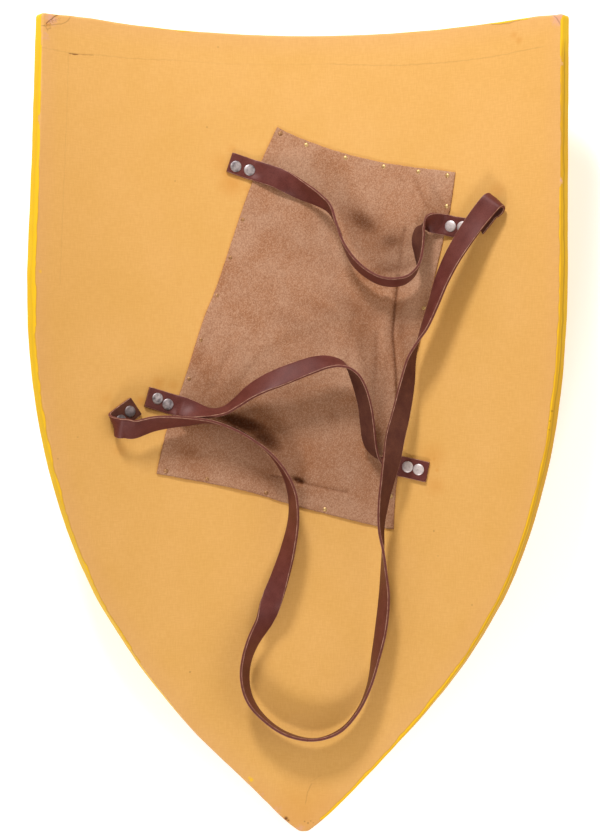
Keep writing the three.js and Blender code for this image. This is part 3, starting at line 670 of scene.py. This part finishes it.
def boardRings(loop, outward):
    b = board
    centre, thick = np.array(b["centre"], dtype=float), b["thickness"]
    backR, frontR = b["backRound"], b["frontRound"]
    rings = []  # (plan points, depth from the front, wrap in mm from the back's corner)
    backStart, frontStart = loop - outward * backR, loop - outward * frontR
    for share in b["backRings"]:
        rings.append((centre + (backStart - centre) * share, thick, 0.0))
    for k in range(1, b["backRoundRings"] + 1):
        turn = k / b["backRoundRings"] * math.pi / 2
        rings.append((loop - outward * backR * (1 - math.sin(turn)),
                      thick - backR * (1 - math.cos(turn)),
                      backR * turn))
    wrapSide = backR * math.pi / 2
    for k in range(1, b["sideRings"] + 1):
        depth = thick - backR + (frontR - thick + backR) * k / (b["sideRings"] + 1)
        rings.append((loop, depth, wrapSide + thick - backR - depth))
    wrapFront = wrapSide + thick - backR - frontR
    for k in range(b["frontRoundRings"]):
        turn = k / (b["frontRoundRings"] - 1) * math.pi / 2
        rings.append((loop - outward * frontR * (1 - math.cos(turn)), frontR * (1 - math.sin(turn)),
                      wrapFront + frontR * turn))
    for share in b["frontRings"]:
        rings.append((centre + (frontStart - centre) * share, 0.0, wrapFront + b["frontWrap"]))
    return rings


def bent(x, y, depth, lift):
    angle = x / board["bendRadius"]
    radius = board["bendRadius"] - depth - lift
    z = axisHeight - radius * math.cos(angle)
    if depth < board["flatBelow"]:
        z = max(z, 0.0)  # the flat spot that the shield rests on
    return (radius * math.sin(angle) / 1000, y / 1000, z / 1000), angle * innerRadius


def makeBoard():
    b = board
    loop = boardOutline()
    count = len(loop)
    outward = outwardNormals(loop)
    edgeLump, edgeSize, fineShare, fineSize = b["edgeLump"]
    lumps = np.array([smoothNoise(x, y, 0.3, edgeSize)
                      + fineShare * smoothNoise(x, y, 5.3, fineSize) for x, y in loop])
    loop = loop + outward * (edgeLump * lumps)[:, None]
    rings = boardRings(loop, outward)
    inward = distanceToLoop(np.vstack([ring[0] for ring in rings]), loop)
    vertices, across, up, wrap = [], [], [], []
    backLump, backSize, backFine, backFineSize = b["backLump"]
    sideLump, sideSize = b["sideLump"]
    for r, (points, depth, wrapHere) in enumerate(rings):
        for x, y in points:
            lift = 0.0
            if r < len(b["backRings"]):
                fine = backFine * smoothNoise(x, y, 8.1, backFineSize)
                lift = backLump * (smoothNoise(x, y, 2.1, backSize) + fine)
            elif depth > 0:
                lift = sideLump * smoothNoise(x, y, depth / 6, sideSize)
            vertex, acrossHere = bent(x, y, depth, lift)
            vertices.append(vertex)
            across.append(acrossHere)
            up.append(y)
            wrap.append(wrapHere)
    faces, materialOf = [], []
    # the back's paint stops on the rounded corner
    paintRings = len(b["backRings"]) + b["backRoundRings"] - 1
    for r in range(len(rings) - 1):
        for i in range(count):
            j = (i + 1) % count
            faces.append((r * count + i, r * count + j, (r + 1) * count + j, (r + 1) * count + i))
            materialOf.append(0 if r < paintRings else 1)
    for r in (0, len(rings) - 1):
        middle = len(vertices)
        x, y = rings[r][0].mean(axis=0)
        vertex, acrossHere = bent(x, y, rings[r][1], 0)
        vertices.append(vertex)
        across.append(acrossHere)
        up.append(y)
        wrap.append(rings[r][2])
        inward = np.append(inward, b["length"])
        for i in range(count):
            here, following = r * count + i, r * count + (i + 1) % count
            faces.append((middle, following, here) if r == 0 else (middle, here, following))
            materialOf.append(0 if r == 0 else 1)
    across, up = np.array(across), np.array(up)
    marks = boardMarks(across, up, inward)
    piece = makePiece("painted_board", vertices, faces, [paintMaterial, enamelMaterial], materialOf,
                      {"across": across, "up": up, "inward": inward, "wrap": wrap, **marks})
    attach(piece, "root")
    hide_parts("board")
    return piece


makeBoard()
print("board made")


pad = {
    "top": [[-22.5, 298.5], [0, 288], [39, 274], [78.5, 263.5], [118, 256], [153.5, 250]],
    "bottom": [[-141.5, -38.5], [-91.5, -48], [-50, -57], [0, -72], [74.5, -90], [92, -92.5]],
    "left": [[-141.5, -38.5], [-132, 0.5], [-114, 50.5], [-95.5, 108], [-79.5, 149], [-50, 236],
             [-22.5, 298.5]],
    "right": [[92, -92.5], [95.5, -44], [113, 69], [117.5, 87], [131.5, 145.5], [147.5, 212],
              [153.5, 250]],
    "edgeThickness": 1.5, "crownThickness": 6, "gap": 0.15, "columns": 150, "rows": 220,
    "tackInset": 4, "steps": 400,
    "lumps": [[0.8, 62, 1.7], [0.5, 27, 4.7]],  # loose padding: height, size and layer of noise
    "tackPull": [0.35, 4.5], "acrossMm": 245, "alongMm": 340,
    "hem": {"rise": 0.9, "width": 9, "clear": 7, "easing": 16},  # the edge bulges between two tacks
    "ragged": [0.35, 5], "thinnest": 0.8,
    "tacks": {"top": [0.03, 0.18, 0.4, 0.61, 0.8, 0.96], "right": [0.09, 0.36, 0.62, 0.905],
              "bottom": [0.035, 0.21, 0.46, 0.71, 0.95], "left": [0.27, 0.38, 0.51, 0.62, 0.73]},
}
padSides = {key: evenly(catmullRom(np.array(pad[key], dtype=float), 60), pad["steps"] + 1)
            for key in ("top", "bottom", "left", "right")}


def sidePoint(key, share):
    place = np.clip(share, 0, 1) * pad["steps"]
    low = int(min(place, pad["steps"] - 1))
    return padSides[key][low] * (1 - place + low) + padSides[key][low + 1] * (place - low)


def padPlace(s, t):
    place = sidePoint("bottom", s) * (1 - t) + sidePoint("top", s) * t
    place = place + sidePoint("left", t) * (1 - s) + sidePoint("right", t) * s
    place = place - sidePoint("left", 0) * (1 - s) * (1 - t) - sidePoint("right", 0) * s * (1 - t)
    return place - sidePoint("left", 1) * (1 - s) * t - sidePoint("right", 1) * s * t


def tackPlaces():
    lengths = {key: np.linalg.norm(np.diff(points, axis=0), axis=1).sum()
               for key, points in padSides.items()}
    inS = pad["tackInset"] / ((lengths["top"] + lengths["bottom"]) / 2)
    inT = pad["tackInset"] / ((lengths["left"] + lengths["right"]) / 2)
    places = ([(s, 1 - inT) for s in pad["tacks"]["top"]]
              + [(1 - inS, t) for t in pad["tacks"]["right"]])
    places += [(s, inT) for s in pad["tacks"]["bottom"]] + [(inS, t) for t in pad["tacks"]["left"]]
    return [padPlace(min(max(s, inS), 1 - inS), min(max(t, inT), 1 - inT)) for s, t in places]


# Folds in the suede as [points, half width, height, darkness]: below zero is a valley, and darkness is
# painted shade in it. The places after them are [across, up, radius along, radius over, turn in
# degrees, share]: the suede is painted darker there, mostly as shade under and between the straps, and
# broadly over the lower part.
padFolds = [
    [[[97, 150], [93.3, 119], [91.3, 95], [94.3, 61], [95.3, 30]], 2.0, -2.2, 0.75],
    [[[86, 132], [83.8, 90], [83, 52], [79, 3]], 4.0, 1.6, 0],
    [[[102, 120], [102, 80], [104, 45]], 3.2, 1.2, 0],
    [[[76, 95], [74, 40], [70, 5]], 3.0, -0.8, 0.3],
    [[[53.5, 112], [49.5, 90.7], [44.5, 63.5]], 4.5, -0.9, 0.3],
    [[[-67.4, 80.8], [-77.4, 63.3], [-85.3, 45.9]], 5.0, -0.8, 0.25],
    [[[-58, 96], [-70, 66]], 4.0, 0.6, 0],
    [[[-28, -41], [-14, -43.5], [-6, -45.5]], 2.4, -1.2, 0.6],
    [[[-4.5, -45], [2.5, -48]], 2.6, -3.8, 1.0],
    [[[0.5, -48], [24.7, -53], [46, -57]], 2.4, -1.4, 0.55],
    [[[112.9, 246.2], [118.9, 232.4], [125, 217.7]], 1.8, -0.9, 0.3],
    [[[131, 236], [137.1, 227.7], [145.2, 217.8]], 2.2, -0.6, 0.2],
    [[[104, 196], [100, 178], [98, 150]], 2.0, -1.4, 0.5],
    [[[-52, 214], [-20, 190], [30, 160]], 14, -0.6, 0.1],
    [[[-100, 30], [-60, -20], [-20, -52]], 12, -0.5, 0.1],
]
napAndShadePlaces = [
    [62, 206, 26, 13, -35, 0.7], [90, 186, 18, 12, 0, 0.6], [86, 158, 30, 9, 10, 0.5],
    [-58, 10, 34, 9, -16, 1.1], [-34, -6, 24, 12, -32, 0.85], [-25, -14, 16, 12, -50, 0.5],
    [-10, 40, 34, 9, 12, 0.45], [55, 122, 34, 10, -30, 0.45], [20, 120, 26, 9, -20, 0.3],
    [-112, -16, 26, 12, -20, 0.4], [-40, -40, 50, 14, -12, 0.45], [-100, 74, 7, 34, -20, 0.3],
    [16, 96, 30, 18, 0, 0.28], [60, 96, 10, 26, 0, 0.35], [96, -30, 10, 30, 0, 0.3],
    [-2, -46, 5, 4, 0, 1.0], [-92, 60, 12, 8, 40, 0.35], [-20, -10, 130, 70, -12, 0.32],
    [70, 30, 50, 60, 0, 0.18], [-10, 110, 22, 10, -15, 0.3], [100, 100, 8, 22, 0, 0.5],
    [50, 86, 14, 14, 0, 0.28], [32, 15, 12, 16, 0, 0.35],
]


def padHeight(s, t, x, y, tacks):
    fill = max(0, (1 - (2 * s - 1) ** 4) * (1 - (2 * t - 1) ** 4))
    height = pad["edgeThickness"] + (pad["crownThickness"] - pad["edgeThickness"]) * fill
    loose = sum(much * smoothNoise(x, y, layer, size) for much, size, layer in pad["lumps"])
    height += min(fill, 0.6) * loose
    nearest = min(math.hypot(x - a, y - b) for a, b in tacks)
    height -= pad["tackPull"][0] * math.exp(-(nearest / pad["tackPull"][1]) ** 2)
    edge = min(min(s, 1 - s) * pad["acrossMm"], min(t, 1 - t) * pad["alongMm"])
    hem = pad["hem"]
    clearOfTacks = min(1, max(0, (nearest - hem["clear"]) / hem["easing"]))
    bulge = clearOfTacks * math.exp(-(edge / hem["width"]) ** 2)
    return max(0.9, height + hem["rise"] * bulge * (0.6 + 0.8 * smoothNoise(x, y, 12, 24)))


def pointToLine(x, y, points):
    nearest = scars["farAway"]
    for (ax, ay), (bx, by) in zip(points, points[1:]):
        dx, dy = bx - ax, by - ay
        share = min(1, max(0, ((x - ax) * dx + (y - ay) * dy) / (dx * dx + dy * dy)))
        nearest = min(nearest, math.hypot(x - ax - share * dx, y - ay - share * dy))
    return nearest


def napAndShadeShare(x, y):
    share = 0
    for a, u, lengthwise, sideways, turnDegrees, strength in napAndShadePlaces:
        turn = math.radians(turnDegrees)
        along_ = (x - a) * math.cos(turn) + (y - u) * math.sin(turn)
        over = (y - u) * math.cos(turn) - (x - a) * math.sin(turn)
        share = max(share, strength * math.exp(-(along_ / lengthwise) ** 2 - (over / sideways) ** 2))
    return share


def makePad():
    tacks = tackPlaces()
    columns, rows = pad["columns"], pad["rows"]
    raggedMuch, raggedSize = pad["ragged"]
    top, bottom, across, up, napAndShade = [], [], [], [], []
    for j in range(rows + 1):
        for i in range(columns + 1):
            s, t = i / columns, j / rows
            x, y = padPlace(s, t)
            onEdge = i in (0, columns) or j in (0, rows)
            ragged = raggedMuch * smoothNoise(x, y, 20, raggedSize) if onEdge else 0
            x, y = x + ragged, y + ragged
            height = padHeight(s, t, x, y, tacks)
            inner = min(1, 8 * min(s, 1 - s), 8 * min(t, 1 - t))
            # darker share: painted shade under and between the straps, then in the folds' valleys
            nap = napAndShadeShare(x, y)
            for points, halfWidth, rise, darkness in padFolds:
                apart = pointToLine(x, y, points)
                if apart < 2.5 * halfWidth:
                    near = math.exp(-(apart / halfWidth) ** 2)
                    height += inner * rise * near
                    nap = max(nap, darkness * near)
            napAndShade.append(nap)
            top.append(onSheet(x, y, pad["gap"] + max(pad["thinnest"], height)))
            bottom.append(onSheet(x, y, pad["gap"]))
            across.append(x)
            up.append(y)
    size = len(top)
    width = columns + 1
    faces = []
    for j in range(rows):
        for i in range(columns):
            a = j * width + i
            faces.append((a, a + 1, a + width + 1, a + width))
            faces.append((size + a, size + a + width, size + a + width + 1, size + a + 1))
    border = list(range(columns)) + [j * width + columns for j in range(rows)]
    border += [rows * width + i for i in range(columns, 0, -1)]
    border += [j * width for j in range(rows, 0, -1)]
    for k, a in enumerate(border):
        b = border[(k + 1) % len(border)]
        faces.append((a, size + a, size + b, b))
    piece = makePiece("suede_pad", top + bottom, faces, [suedeMaterial], None,
                      {"across": across + across, "up": up + up, "napAndShade": napAndShade + napAndShade})
    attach(piece, "root")
    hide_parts("forearm_pad")
    return tacks


tacks = makePad()
print("pad made")


strapSize = {
    "width": 20, "thickness": 2.6, "seat": 1.6, "foldRadius": 6.5, "corner": 0.45, "step": 1.6,
    "endTrim": [0.35, 1.2],  # how much the cut ends narrow, and over what length
    "wander": [[0.3, 38, 0], [0.12, 7, 3]],  # cut edges: sideways, length of a wave, noise layer
    "cup": [0.45, 60, 30, 40],  # hollow of the flesh side, its wave, clear of ends, easing in
    "hold": {"reach": 18, "flat": 6.2, "slope": 0.55, "above": 5},  # pulled down round a rivet
    "steps": 24,
}
gripStrap = {
    "start": {"tip": [-69.3, 263.6], "heading": -18, "flat": 23, "rivets": [[7.2, -2.1], [21, -1]]},
    "finish": {"tip": [168.2, 194.7], "heading": 168.7, "flat": 18, "rivets": [[7.1, -1], [19.3, 0]]},
    "run": [[-41.8, 254.8, 3.9, 1], [-35, 252.5, 6, 4], [-20, 247, 9.5, 6], [0, 236, 13.5, 38],
            [18.5, 226, 18, 62], [30, 217, 20.5, 76], [38.5, 199, 23, 88], [45.5, 180.5, 24.5, 84],
            [55.5, 165, 25.5, 74], [70.5, 152.5, 25.5, 71], [86.5, 145.5, 25.5, 71],
            [103.5, 145, 25, 76], [116, 150.5, 24.5, 92], [123, 161, 23.5, 109], [123, 174, 21.5, 128],
            [121.5, 187, 19, 138], [123.5, 197.5, 17, 120], [130, 201.5, 13.5, 52],
            [137.5, 201, 7.6, 14], [143.8, 200, 3.9, 2]],
}
forearmStrap = {
    "start": {"tip": [-151.5, 35.2], "heading": -16, "flat": 26, "rivets": [[10.4, 1.3], [21.9, -1.2]]},
    "finish": {"tip": [125.9, -37.2], "heading": 168.4, "flat": 23,
               "rivets": [[9.1, -0.6], [20.3, -0.9]]},
    "run": [[-120.5, 26.5, 5.6, -4], [-111, 23.5, 9.8, -24], [-100, 21, 14.5, -52],
            [-88.5, 20, 17, -70], [-76.5, 22.5, 19, -74], [-65, 30, 22, -69], [-52.5, 39.5, 26, -56],
            [-37.5, 47.5, 29.5, -43], [-21, 54, 32.5, -32], [-3, 60.5, 34.5, -34], [13, 65.5, 36, -39],
            [25.5, 68, 36, -50], [37, 68, 35.5, -65], [45.5, 66, 35, -80], [51.5, 62.5, 34, -98],
            [58.5, 54, 32.5, -120], [64, 41.5, 30.5, -131], [68, 25.5, 27.5, -135],
            [70, 8.5, 24.5, -138], [71, -3, 22.5, -137], [73, -13, 20, -128], [77, -20.5, 17.5, -110],
            [82.5, -26, 15.5, -88], [89, -29.5, 12, -45], [96.5, -31.2, 5.2, -6]],
}
guigeStrap = {
    "start": {"tip": [-162.7, 26.3], "heading": 215, "flat": 19, "rivets": [[8.2, 0.6], [20.7, 2.4]],
              "fold": {"at": [-180.6, 9.1], "outward": 196, "lean": 19, "shift": 4, "rise": 28}},
    "finish": {"tip": [177.6, 198.8], "heading": 48, "flat": 18, "skew": -23,
               "rivets": [[8, 0], [19.4, 0]],
               "fold": {"at": [194.2, 214.8], "outward": 49, "lean": 3, "shift": 0.5, "rise": 8}},
    "run": [[-171, 4, 15.5, 32], [-150.5, 9, 17, 45], [-131, 11, 18, 59], [-111, 11.5, 18.5, 72],
            [-91, 11, 18.3, 88], [-68, 4.5, 18, 95], [-46.5, -7, 18, 94], [-29.5, -20.5, 18, 88],
            [-16, -38, 18, 80], [-8, -58.5, 18, 70], [-6.5, -81.5, 17.5, 64], [-12, -111, 17.5, 52],
            [-21.5, -141.5, 17, 34], [-28.5, -160.5, 17, 9], [-35.5, -180, 16.5, -31],
            [-46.5, -199, 16.5, -48], [-53.5, -216.5, 16.5, -57], [-56, -234.5, 16.5, -61],
            [-51.5, -255.5, 16.5, -70], [-36.5, -275, 16.5, -84], [-13.5, -290.5, 16.5, -92],
            [15, -296, 16.5, -98], [40.5, -287, 16.5, -91], [58.5, -267.5, 16.5, -85],
            [70, -243.5, 16.5, -76], [77.5, -212.5, 17, -60], [83, -184, 17.5, -50],
            [86, -155.5, 18.5, -53], [86, -134.5, 20, -65], [85.5, -111.5, 22, -79],
            [84, -90.5, 24.5, -92], [86.5, -68.5, 27.5, -104], [91.5, -45, 30, -117],
            [96.5, -23, 30.5, -133], [100, -2, 28.5, -142], [106, 23, 26, -132], [111, 48, 24, -118],
            [115.5, 72, 23.5, -96], [122.5, 88.5, 24, -75], [130, 102.5, 24.5, -57],
            [140, 124.5, 26, -45], [148, 144, 26.5, -34], [159, 165.5, 25, -22], [171, 184.5, 22, -11],
            [183, 202, 17.5, 0]],
}


def sheetDirection(across, heading, tilt):
    round_, along, square = sheetAxes(across)
    flat, lift = math.cos(math.radians(tilt)), math.sin(math.radians(tilt))
    turn = math.radians(heading)
    return round_ * flat * math.cos(turn) + along * flat * math.sin(turn) + square * lift


def endStations(end, towardsRun):
    away = 1 if towardsRun else -1
    turn = math.radians(end["heading"])
    seat = strapSize["seat"]
    stations = []
    for share in (0, 0.5, 1):
        across = end["tip"][0] + math.cos(turn) * end["flat"] * share
        up = end["tip"][1] + math.sin(turn) * end["flat"] * share
        heading = end["heading"] + 90 * away * (-1 if "fold" in end else 1)
        stations.append((onSheet(across, up, seat), sheetDirection(across, heading, 0)))
    if "fold" in end:
        fold = end["fold"]
        for bend in range(0, 181, 45):
            wave = math.cos(math.radians(bend))
            reach = strapSize["foldRadius"] * math.sin(math.radians(bend))
            axis = fold["outward"] - 90 * away
            out, side = math.radians(fold["outward"]), math.radians(axis)
            slide = fold["shift"] * wave * away
            across = fold["at"][0] + reach * math.cos(out) + slide * math.cos(side)
            up = fold["at"][1] + reach * math.sin(out) + slide * math.sin(side)
            height = seat + strapSize["foldRadius"] * (1 - wave)
            edge = sheetDirection(across, axis + fold["lean"] * wave * away,
                                  fold["rise"] * (1 - wave) / 2)
            stations.append((onSheet(across, up, height), edge))
    return stations if towardsRun else stations[::-1]


def spanCurve(p0, p1, p2, p3, t, centripetal):
    if centripetal:
        d0, d1, d2 = (max((b - a).length, 1e-9) ** 0.5 for a, b in ((p0, p1), (p1, p2), (p2, p3)))
        m1 = ((p1 - p0) / d0 - (p2 - p0) / (d0 + d1) + (p2 - p1) / d1) * d1
        m2 = ((p2 - p1) / d1 - (p3 - p1) / (d1 + d2) + (p3 - p2) / d2) * d1
    else:
        m1, m2 = (p2 - p0) * 0.5, (p3 - p1) * 0.5
    return (p1 + m1 * t + (p2 * 3 - p1 * 3 - m1 * 2 - m2) * t ** 2
            + (p1 * 2 - p2 * 2 + m1 + m2) * t ** 3)


def along(points, place, centripetal):
    last = len(points) - 1
    i = min(max(int(place), 0), last - 1)
    before = points[i - 1] if i > 0 else points[0] * 2 - points[1]
    after = points[i + 2] if i + 2 <= last else points[last] * 2 - points[last - 1]
    return spanCurve(before, points[i], points[i + 1], after, place - i, centripetal)


def strapRows(strap):
    stations = endStations(strap["start"], True)
    stations += [(onSheet(a, u, h), (a, roll)) for a, u, h, roll in strap["run"]]
    stations += endStations(strap["finish"], False)
    middles = [point for point, _ in stations]
    edges = []
    for i, (_, edge) in enumerate(stations):
        if isinstance(edge, tuple):
            across, roll = edge
            tangent = (along(middles, i + 0.001, True)
                       - along(middles, i - 0.001, True)).normalized()
            level = sheetAxes(across)[2].cross(tangent).normalized()
            lift = tangent.cross(level)
            edge = level * math.cos(math.radians(roll)) + lift * math.sin(math.radians(roll))
        edges.append(edge)
    steps = strapSize["steps"]
    dense = [along(middles, k / steps, True) for k in range((len(middles) - 1) * steps + 1)]
    gaps = [(b - a).length * 1000 for a, b in zip(dense, dense[1:])]
    lengths = np.concatenate([[0], np.cumsum(gaps)])
    total = lengths[-1]
    count = int(total / strapSize["step"])
    rows = []
    for wanted in np.linspace(0, total, count + 1):
        place = float(np.interp(wanted, lengths, np.arange(len(dense)) / steps))
        tangent = (along(middles, place + 0.01, True)
                   - along(middles, place - 0.01, True)).normalized()
        edge = along(edges, place, False)
        edge = (edge - tangent * edge.dot(tangent)).normalized()
        rows.append({"along": wanted, "middle": along(middles, place, True), "tangent": tangent,
                     "edge": edge, "grain": tangent.cross(edge)})
    return rows, total


def rivetFeet(strap):
    feet = []
    for end in (strap["start"], strap["finish"]):
        turn = math.radians(end["heading"])
        for fromTip, sideways in end["rivets"]:
            feet.append((end["tip"][0] + fromTip * math.cos(turn) - sideways * math.sin(turn),
                         end["tip"][1] + fromTip * math.sin(turn) + sideways * math.cos(turn)))
    return feet


# Cross-section of a cut strap with slightly eased corners, from the grain's left edge round
def strapSection():
    half, thin, corner = strapSize["width"] / 2, strapSize["thickness"] / 2, strapSize["corner"]
    flats = [-1, -0.8, -0.5, -0.2, 0.2, 0.5, 0.8, 1]
    points = [((half - corner) * f, thin, 0) for f in flats]
    points += [(half - corner * 0.3, thin - corner * 0.3, 2), (half, thin - corner, 2), (half, 0, 2),
               (half, corner - thin, 2), (half - corner * 0.3, corner * 0.3 - thin, 2)]
    points += [((half - corner) * f, -thin, 1) for f in reversed(flats)]
    points += [(corner * 0.3 - half, corner * 0.3 - thin, 2), (-half, corner - thin, 2), (-half, 0, 2),
               (-half, thin - corner, 2), (corner * 0.3 - half, thin - corner * 0.3, 2)]
    return points


def makeStrap(name, node, strap, seed):
    rows, total = strapRows(strap)
    section = strapSection()
    feet = rivetFeet(strap)
    ring = len(section)
    vertices, alongs, asides, throughs = [], [], [], []
    skew = math.tan(math.radians(strap["finish"].get("skew", 0)))
    half, seat, hold = strapSize["width"] / 2, strapSize["seat"], strapSize["hold"]
    hollow, wave, clear, easing = strapSize["cup"]
    for r, row in enumerate(rows):
        toEnd = min(row["along"], total - row["along"])
        trim = strapSize["endTrim"][0] * math.exp(-toEnd / strapSize["endTrim"][1])
        wander = sum(much * smoothNoise(row["along"], seed, layer, wave)
                     for much, wave, layer in strapSize["wander"])
        eased = min(1, max(0, toEnd - clear) / easing)
        cup = hollow * eased * (0.6 + 0.7 * smoothNoise(row["along"], seed, 7, wave))
        for y, z, _ in section:
            side = y * (1 - trim / half) + wander * abs(y) / half
            depth = z - cup * ((y / half) ** 2 - 0.4)
            point = row["middle"] + row["edge"] * side / 1000 + row["grain"] * depth / 1000
            if r == len(rows) - 1 or r == len(rows) - 2:
                point = point + row["tangent"] * y * skew / 1000 * (1 if r == len(rows) - 1 else 0.55)
            # leather under a rivet's head is held down
            for a, u in feet:
                foot, square = onSheet(a, u, 0), sheetAxes(a)[2]
                apart = (point - foot) * 1000
                height = apart.dot(square)
                aside = (apart - square * height).length
                facing = row["grain"].dot(square)
                middleHeight = height - (z * math.copysign(1, facing) if abs(facing) > 0.7 else 0)
                allowed = seat + max(0, aside - hold["flat"]) * hold["slope"]
                if aside < hold["reach"] and allowed < middleHeight < seat + hold["above"]:
                    point = point - square * (middleHeight - allowed) / 1000
            vertices.append(point)
            alongs.append(row["along"])
            asides.append(y + seed * 37)
            throughs.append(z / (strapSize["thickness"] / 2))
    faces, materialOf = [], []
    for r in range(len(rows) - 1):
        for k in range(ring):
            m = (k + 1) % ring
            faces.append((r * ring + k, (r + 1) * ring + k, (r + 1) * ring + m, r * ring + m))
            kinds = {section[k][2], section[m][2]}
            materialOf.append(2 if 2 in kinds else section[k][2])
    last = (len(rows) - 1) * ring
    faces.append(tuple(range(ring)))
    faces.append(tuple(last + k for k in reversed(range(ring))))
    materialOf += [2, 2]
    piece = makePiece(name, vertices, faces, [grainMaterial, fleshMaterial, edgeMaterial], materialOf,
                      {"along": alongs, "aside": asides, "through": throughs})
    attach(piece, "root")
    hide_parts(node)
    print(name, "length", round(total), "mm")
    return feet


rivet = {"headRadius": 5.55, "headHeight": 1.4, "rim": 0.35, "sides": 40, "shank": [2, -8],
         "sink": 0.12, "frontRadius": 5.2, "frontHeight": 1.3,
         "frontSkirt": [[0.8, 0.6], [0.6, -0.05]], "frontSides": 32}
tack = {"headRadius": 2.3, "headHeight": 1.15, "rim": 0.15, "sides": 20, "shank": [0.6, -3],
        "seat": 1.15, "dulled": [1, 11, 12, 13, 15, 16, 17, 18, 19, 20]}


def turned(profile, sides, foot, axes):
    round_, along_, square = axes
    vertices, faces = [], []
    for radius, height in profile:
        for k in range(sides):
            turn = 2 * math.pi * k / sides
            offset = (round_ * radius * math.cos(turn) + along_ * radius * math.sin(turn)
                      + square * height)
            vertices.append(foot + offset / 1000)
    for r in range(len(profile) - 1):
        for k in range(sides):
            m = (k + 1) % sides
            faces.append((r * sides + k, r * sides + m, (r + 1) * sides + m, (r + 1) * sides + k))
    last = (len(profile) - 1) * sides
    faces.append(tuple(reversed(range(sides))))
    faces.append(tuple(last + k for k in range(sides)))
    return vertices, faces


def shankAndDome(head, base):
    radius, height, rim = head["headRadius"], head["headHeight"], head["rim"]
    shankRadius, shankEnd = head["shank"]
    profile = [(shankRadius, shankEnd), (shankRadius, base)]
    profile += [(radius * 0.5, base), (radius * 0.96, base), (radius, base + rim * 0.5),
                (radius * 0.985, base + rim)]
    for k in range(1, 9):
        turn = k / 8 * math.pi / 2
        profile.append((radius * 0.985 * max(0.02, math.cos(turn)),
                        base + rim + (height - rim) * math.sin(turn)))
    return profile


def makeRivets(use, feet):
    for number, (across, up) in enumerate(feet, start=1):
        seat = 2 * strapSize["seat"] - 0.3 - rivet["sink"]
        profile = shankAndDome(rivet, seat)
        vertices, faces = turned(profile, rivet["sides"], onSheet(across, up, 0), sheetAxes(across))
        # the guige's left pair, under its fold, is painted darker as shade
        leftPlate = "shadedNickelPlate" if use == "guige" else "greyNickelPlate"
        plate = leftPlate if number <= 2 else "tumbledNickelPlate"
        piece = makePiece(f"{use}_rivet_head_{number}", vertices, faces, [metalMaterials[plate]])
        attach(piece, "root")
        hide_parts(f"{use}_rivet_{number}")


allFeet = []
strapsInOrder = (
    ("grip", "grip_strap_leather", "grip_strap", gripStrap, 1),
    ("forearm", "forearm_strap_leather", "forearm_strap", forearmStrap, 2),
    ("guige", "guige_strap_leather", "guige_strap", guigeStrap, 3),
)
for use, name, node, strap, seed in strapsInOrder:
    feet = makeStrap(name, node, strap, seed)
    makeRivets(use, feet)
    allFeet += feet
print("straps and rivets made")

for number, (across, up) in enumerate(tacks, start=1):
    profile = shankAndDome(tack, pad["gap"] + tack["seat"])
    vertices, faces = turned(profile, tack["sides"], onSheet(across, up, 0), sheetAxes(across))
    metal = "dulledBrass" if number in tack["dulled"] else "tackBrass"
    piece = makePiece(f"tack_head_{number:02d}", vertices, faces, [metalMaterials[metal]])
    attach(piece, "root")
    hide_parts(f"pad_tack_{number:02d}")

# the rivets' front heads show only as low bumps under the enamel
vertices, faces = [], []
for across, up in allFeet:
    round_, along_, square = sheetAxes(across)
    front = -board["thickness"]
    profile = [(rivet["frontRadius"] + wider, front + rise) for wider, rise in rivet["frontSkirt"]]
    for k in range(1, 7):
        turn = k / 6 * math.pi / 2
        profile.append((rivet["frontRadius"] * math.cos(turn * 0.98),
                        front - rivet["frontHeight"] * math.sin(turn)))
    partVertices, partFaces = turned(profile, rivet["frontSides"], onSheet(across, up, 0),
                                     (along_, round_, square))
    start = len(vertices)
    vertices += partVertices
    faces += [tuple(start + i for i in face) for face in partFaces]
bumps = makePiece("painted_front_heads", vertices, faces, [enamelMaterial], None,
                  {"wrap": [60.0] * len(vertices)})
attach(bumps, "root")
print("tacks and front heads made")


studio = {"camera": (0, 0.013, 1.65), "lens": 71.9, "sensor": 36, "nearest": 0.05,
          "floor": "#f4f6fa", "floorRoughness": 0.9, "floorGlow": 0.4, "floorReach": 4, "world": 0.51,
          "air": "#fff1de",
          "lamps": [["topLamp", (-0.46, 1.88, 1.3), 0.4, 38.5],
                    ["lowerLamp", (-0.42, -1.88, 1.3), 0.45, 18.5],
                    ["rightFill", (1.6, 0.2, 1.0), 1.5, 6.2]]}

camera = bpy.data.objects.new("camera", bpy.data.cameras.new("camera"))
camera.location = studio["camera"]
camera.data.lens = studio["lens"]
camera.data.sensor_width = studio["sensor"]
camera.data.clip_start = studio["nearest"]
bpy.context.scene.collection.objects.link(camera)
bpy.context.scene.camera = camera
bpy.context.scene.view_settings.view_transform = "Standard"

floorMaterial, floorTree, floorShader = startMaterial("paleStudioPaper")
floorShader.inputs["Base Color"].default_value = linearColour(studio["floor"])
floorShader.inputs["Roughness"].default_value = studio["floorRoughness"]
floorShader.inputs["Emission Color"].default_value = (1, 1, 1, 1)
floorShader.inputs["Emission Strength"].default_value = studio["floorGlow"]
floorCorners = [(x * studio["floorReach"], y * studio["floorReach"], -board["floorGap"])
                for x, y in ((-1, -1), (1, -1), (1, 1), (-1, 1))]
floor = makePiece("floor", floorCorners, [(0, 1, 2, 3)], [floorMaterial])

world = bpy.data.worlds.new("studioAir")
world.use_nodes = True
world.node_tree.nodes["Background"].inputs["Color"].default_value = linearColour(studio["air"])
world.node_tree.nodes["Background"].inputs["Strength"].default_value = studio["world"]
bpy.context.scene.world = world
for name, place, size, power in studio["lamps"]:
    lamp = bpy.data.objects.new(name, bpy.data.lights.new(name, "AREA"))
    lamp.data.size = size
    lamp.data.energy = power
    lamp.location = place
    lamp.rotation_euler = (-Vector(place)).to_track_quat("-Z", "Y").to_euler()
    bpy.context.scene.collection.objects.link(lamp)
print("studio set")
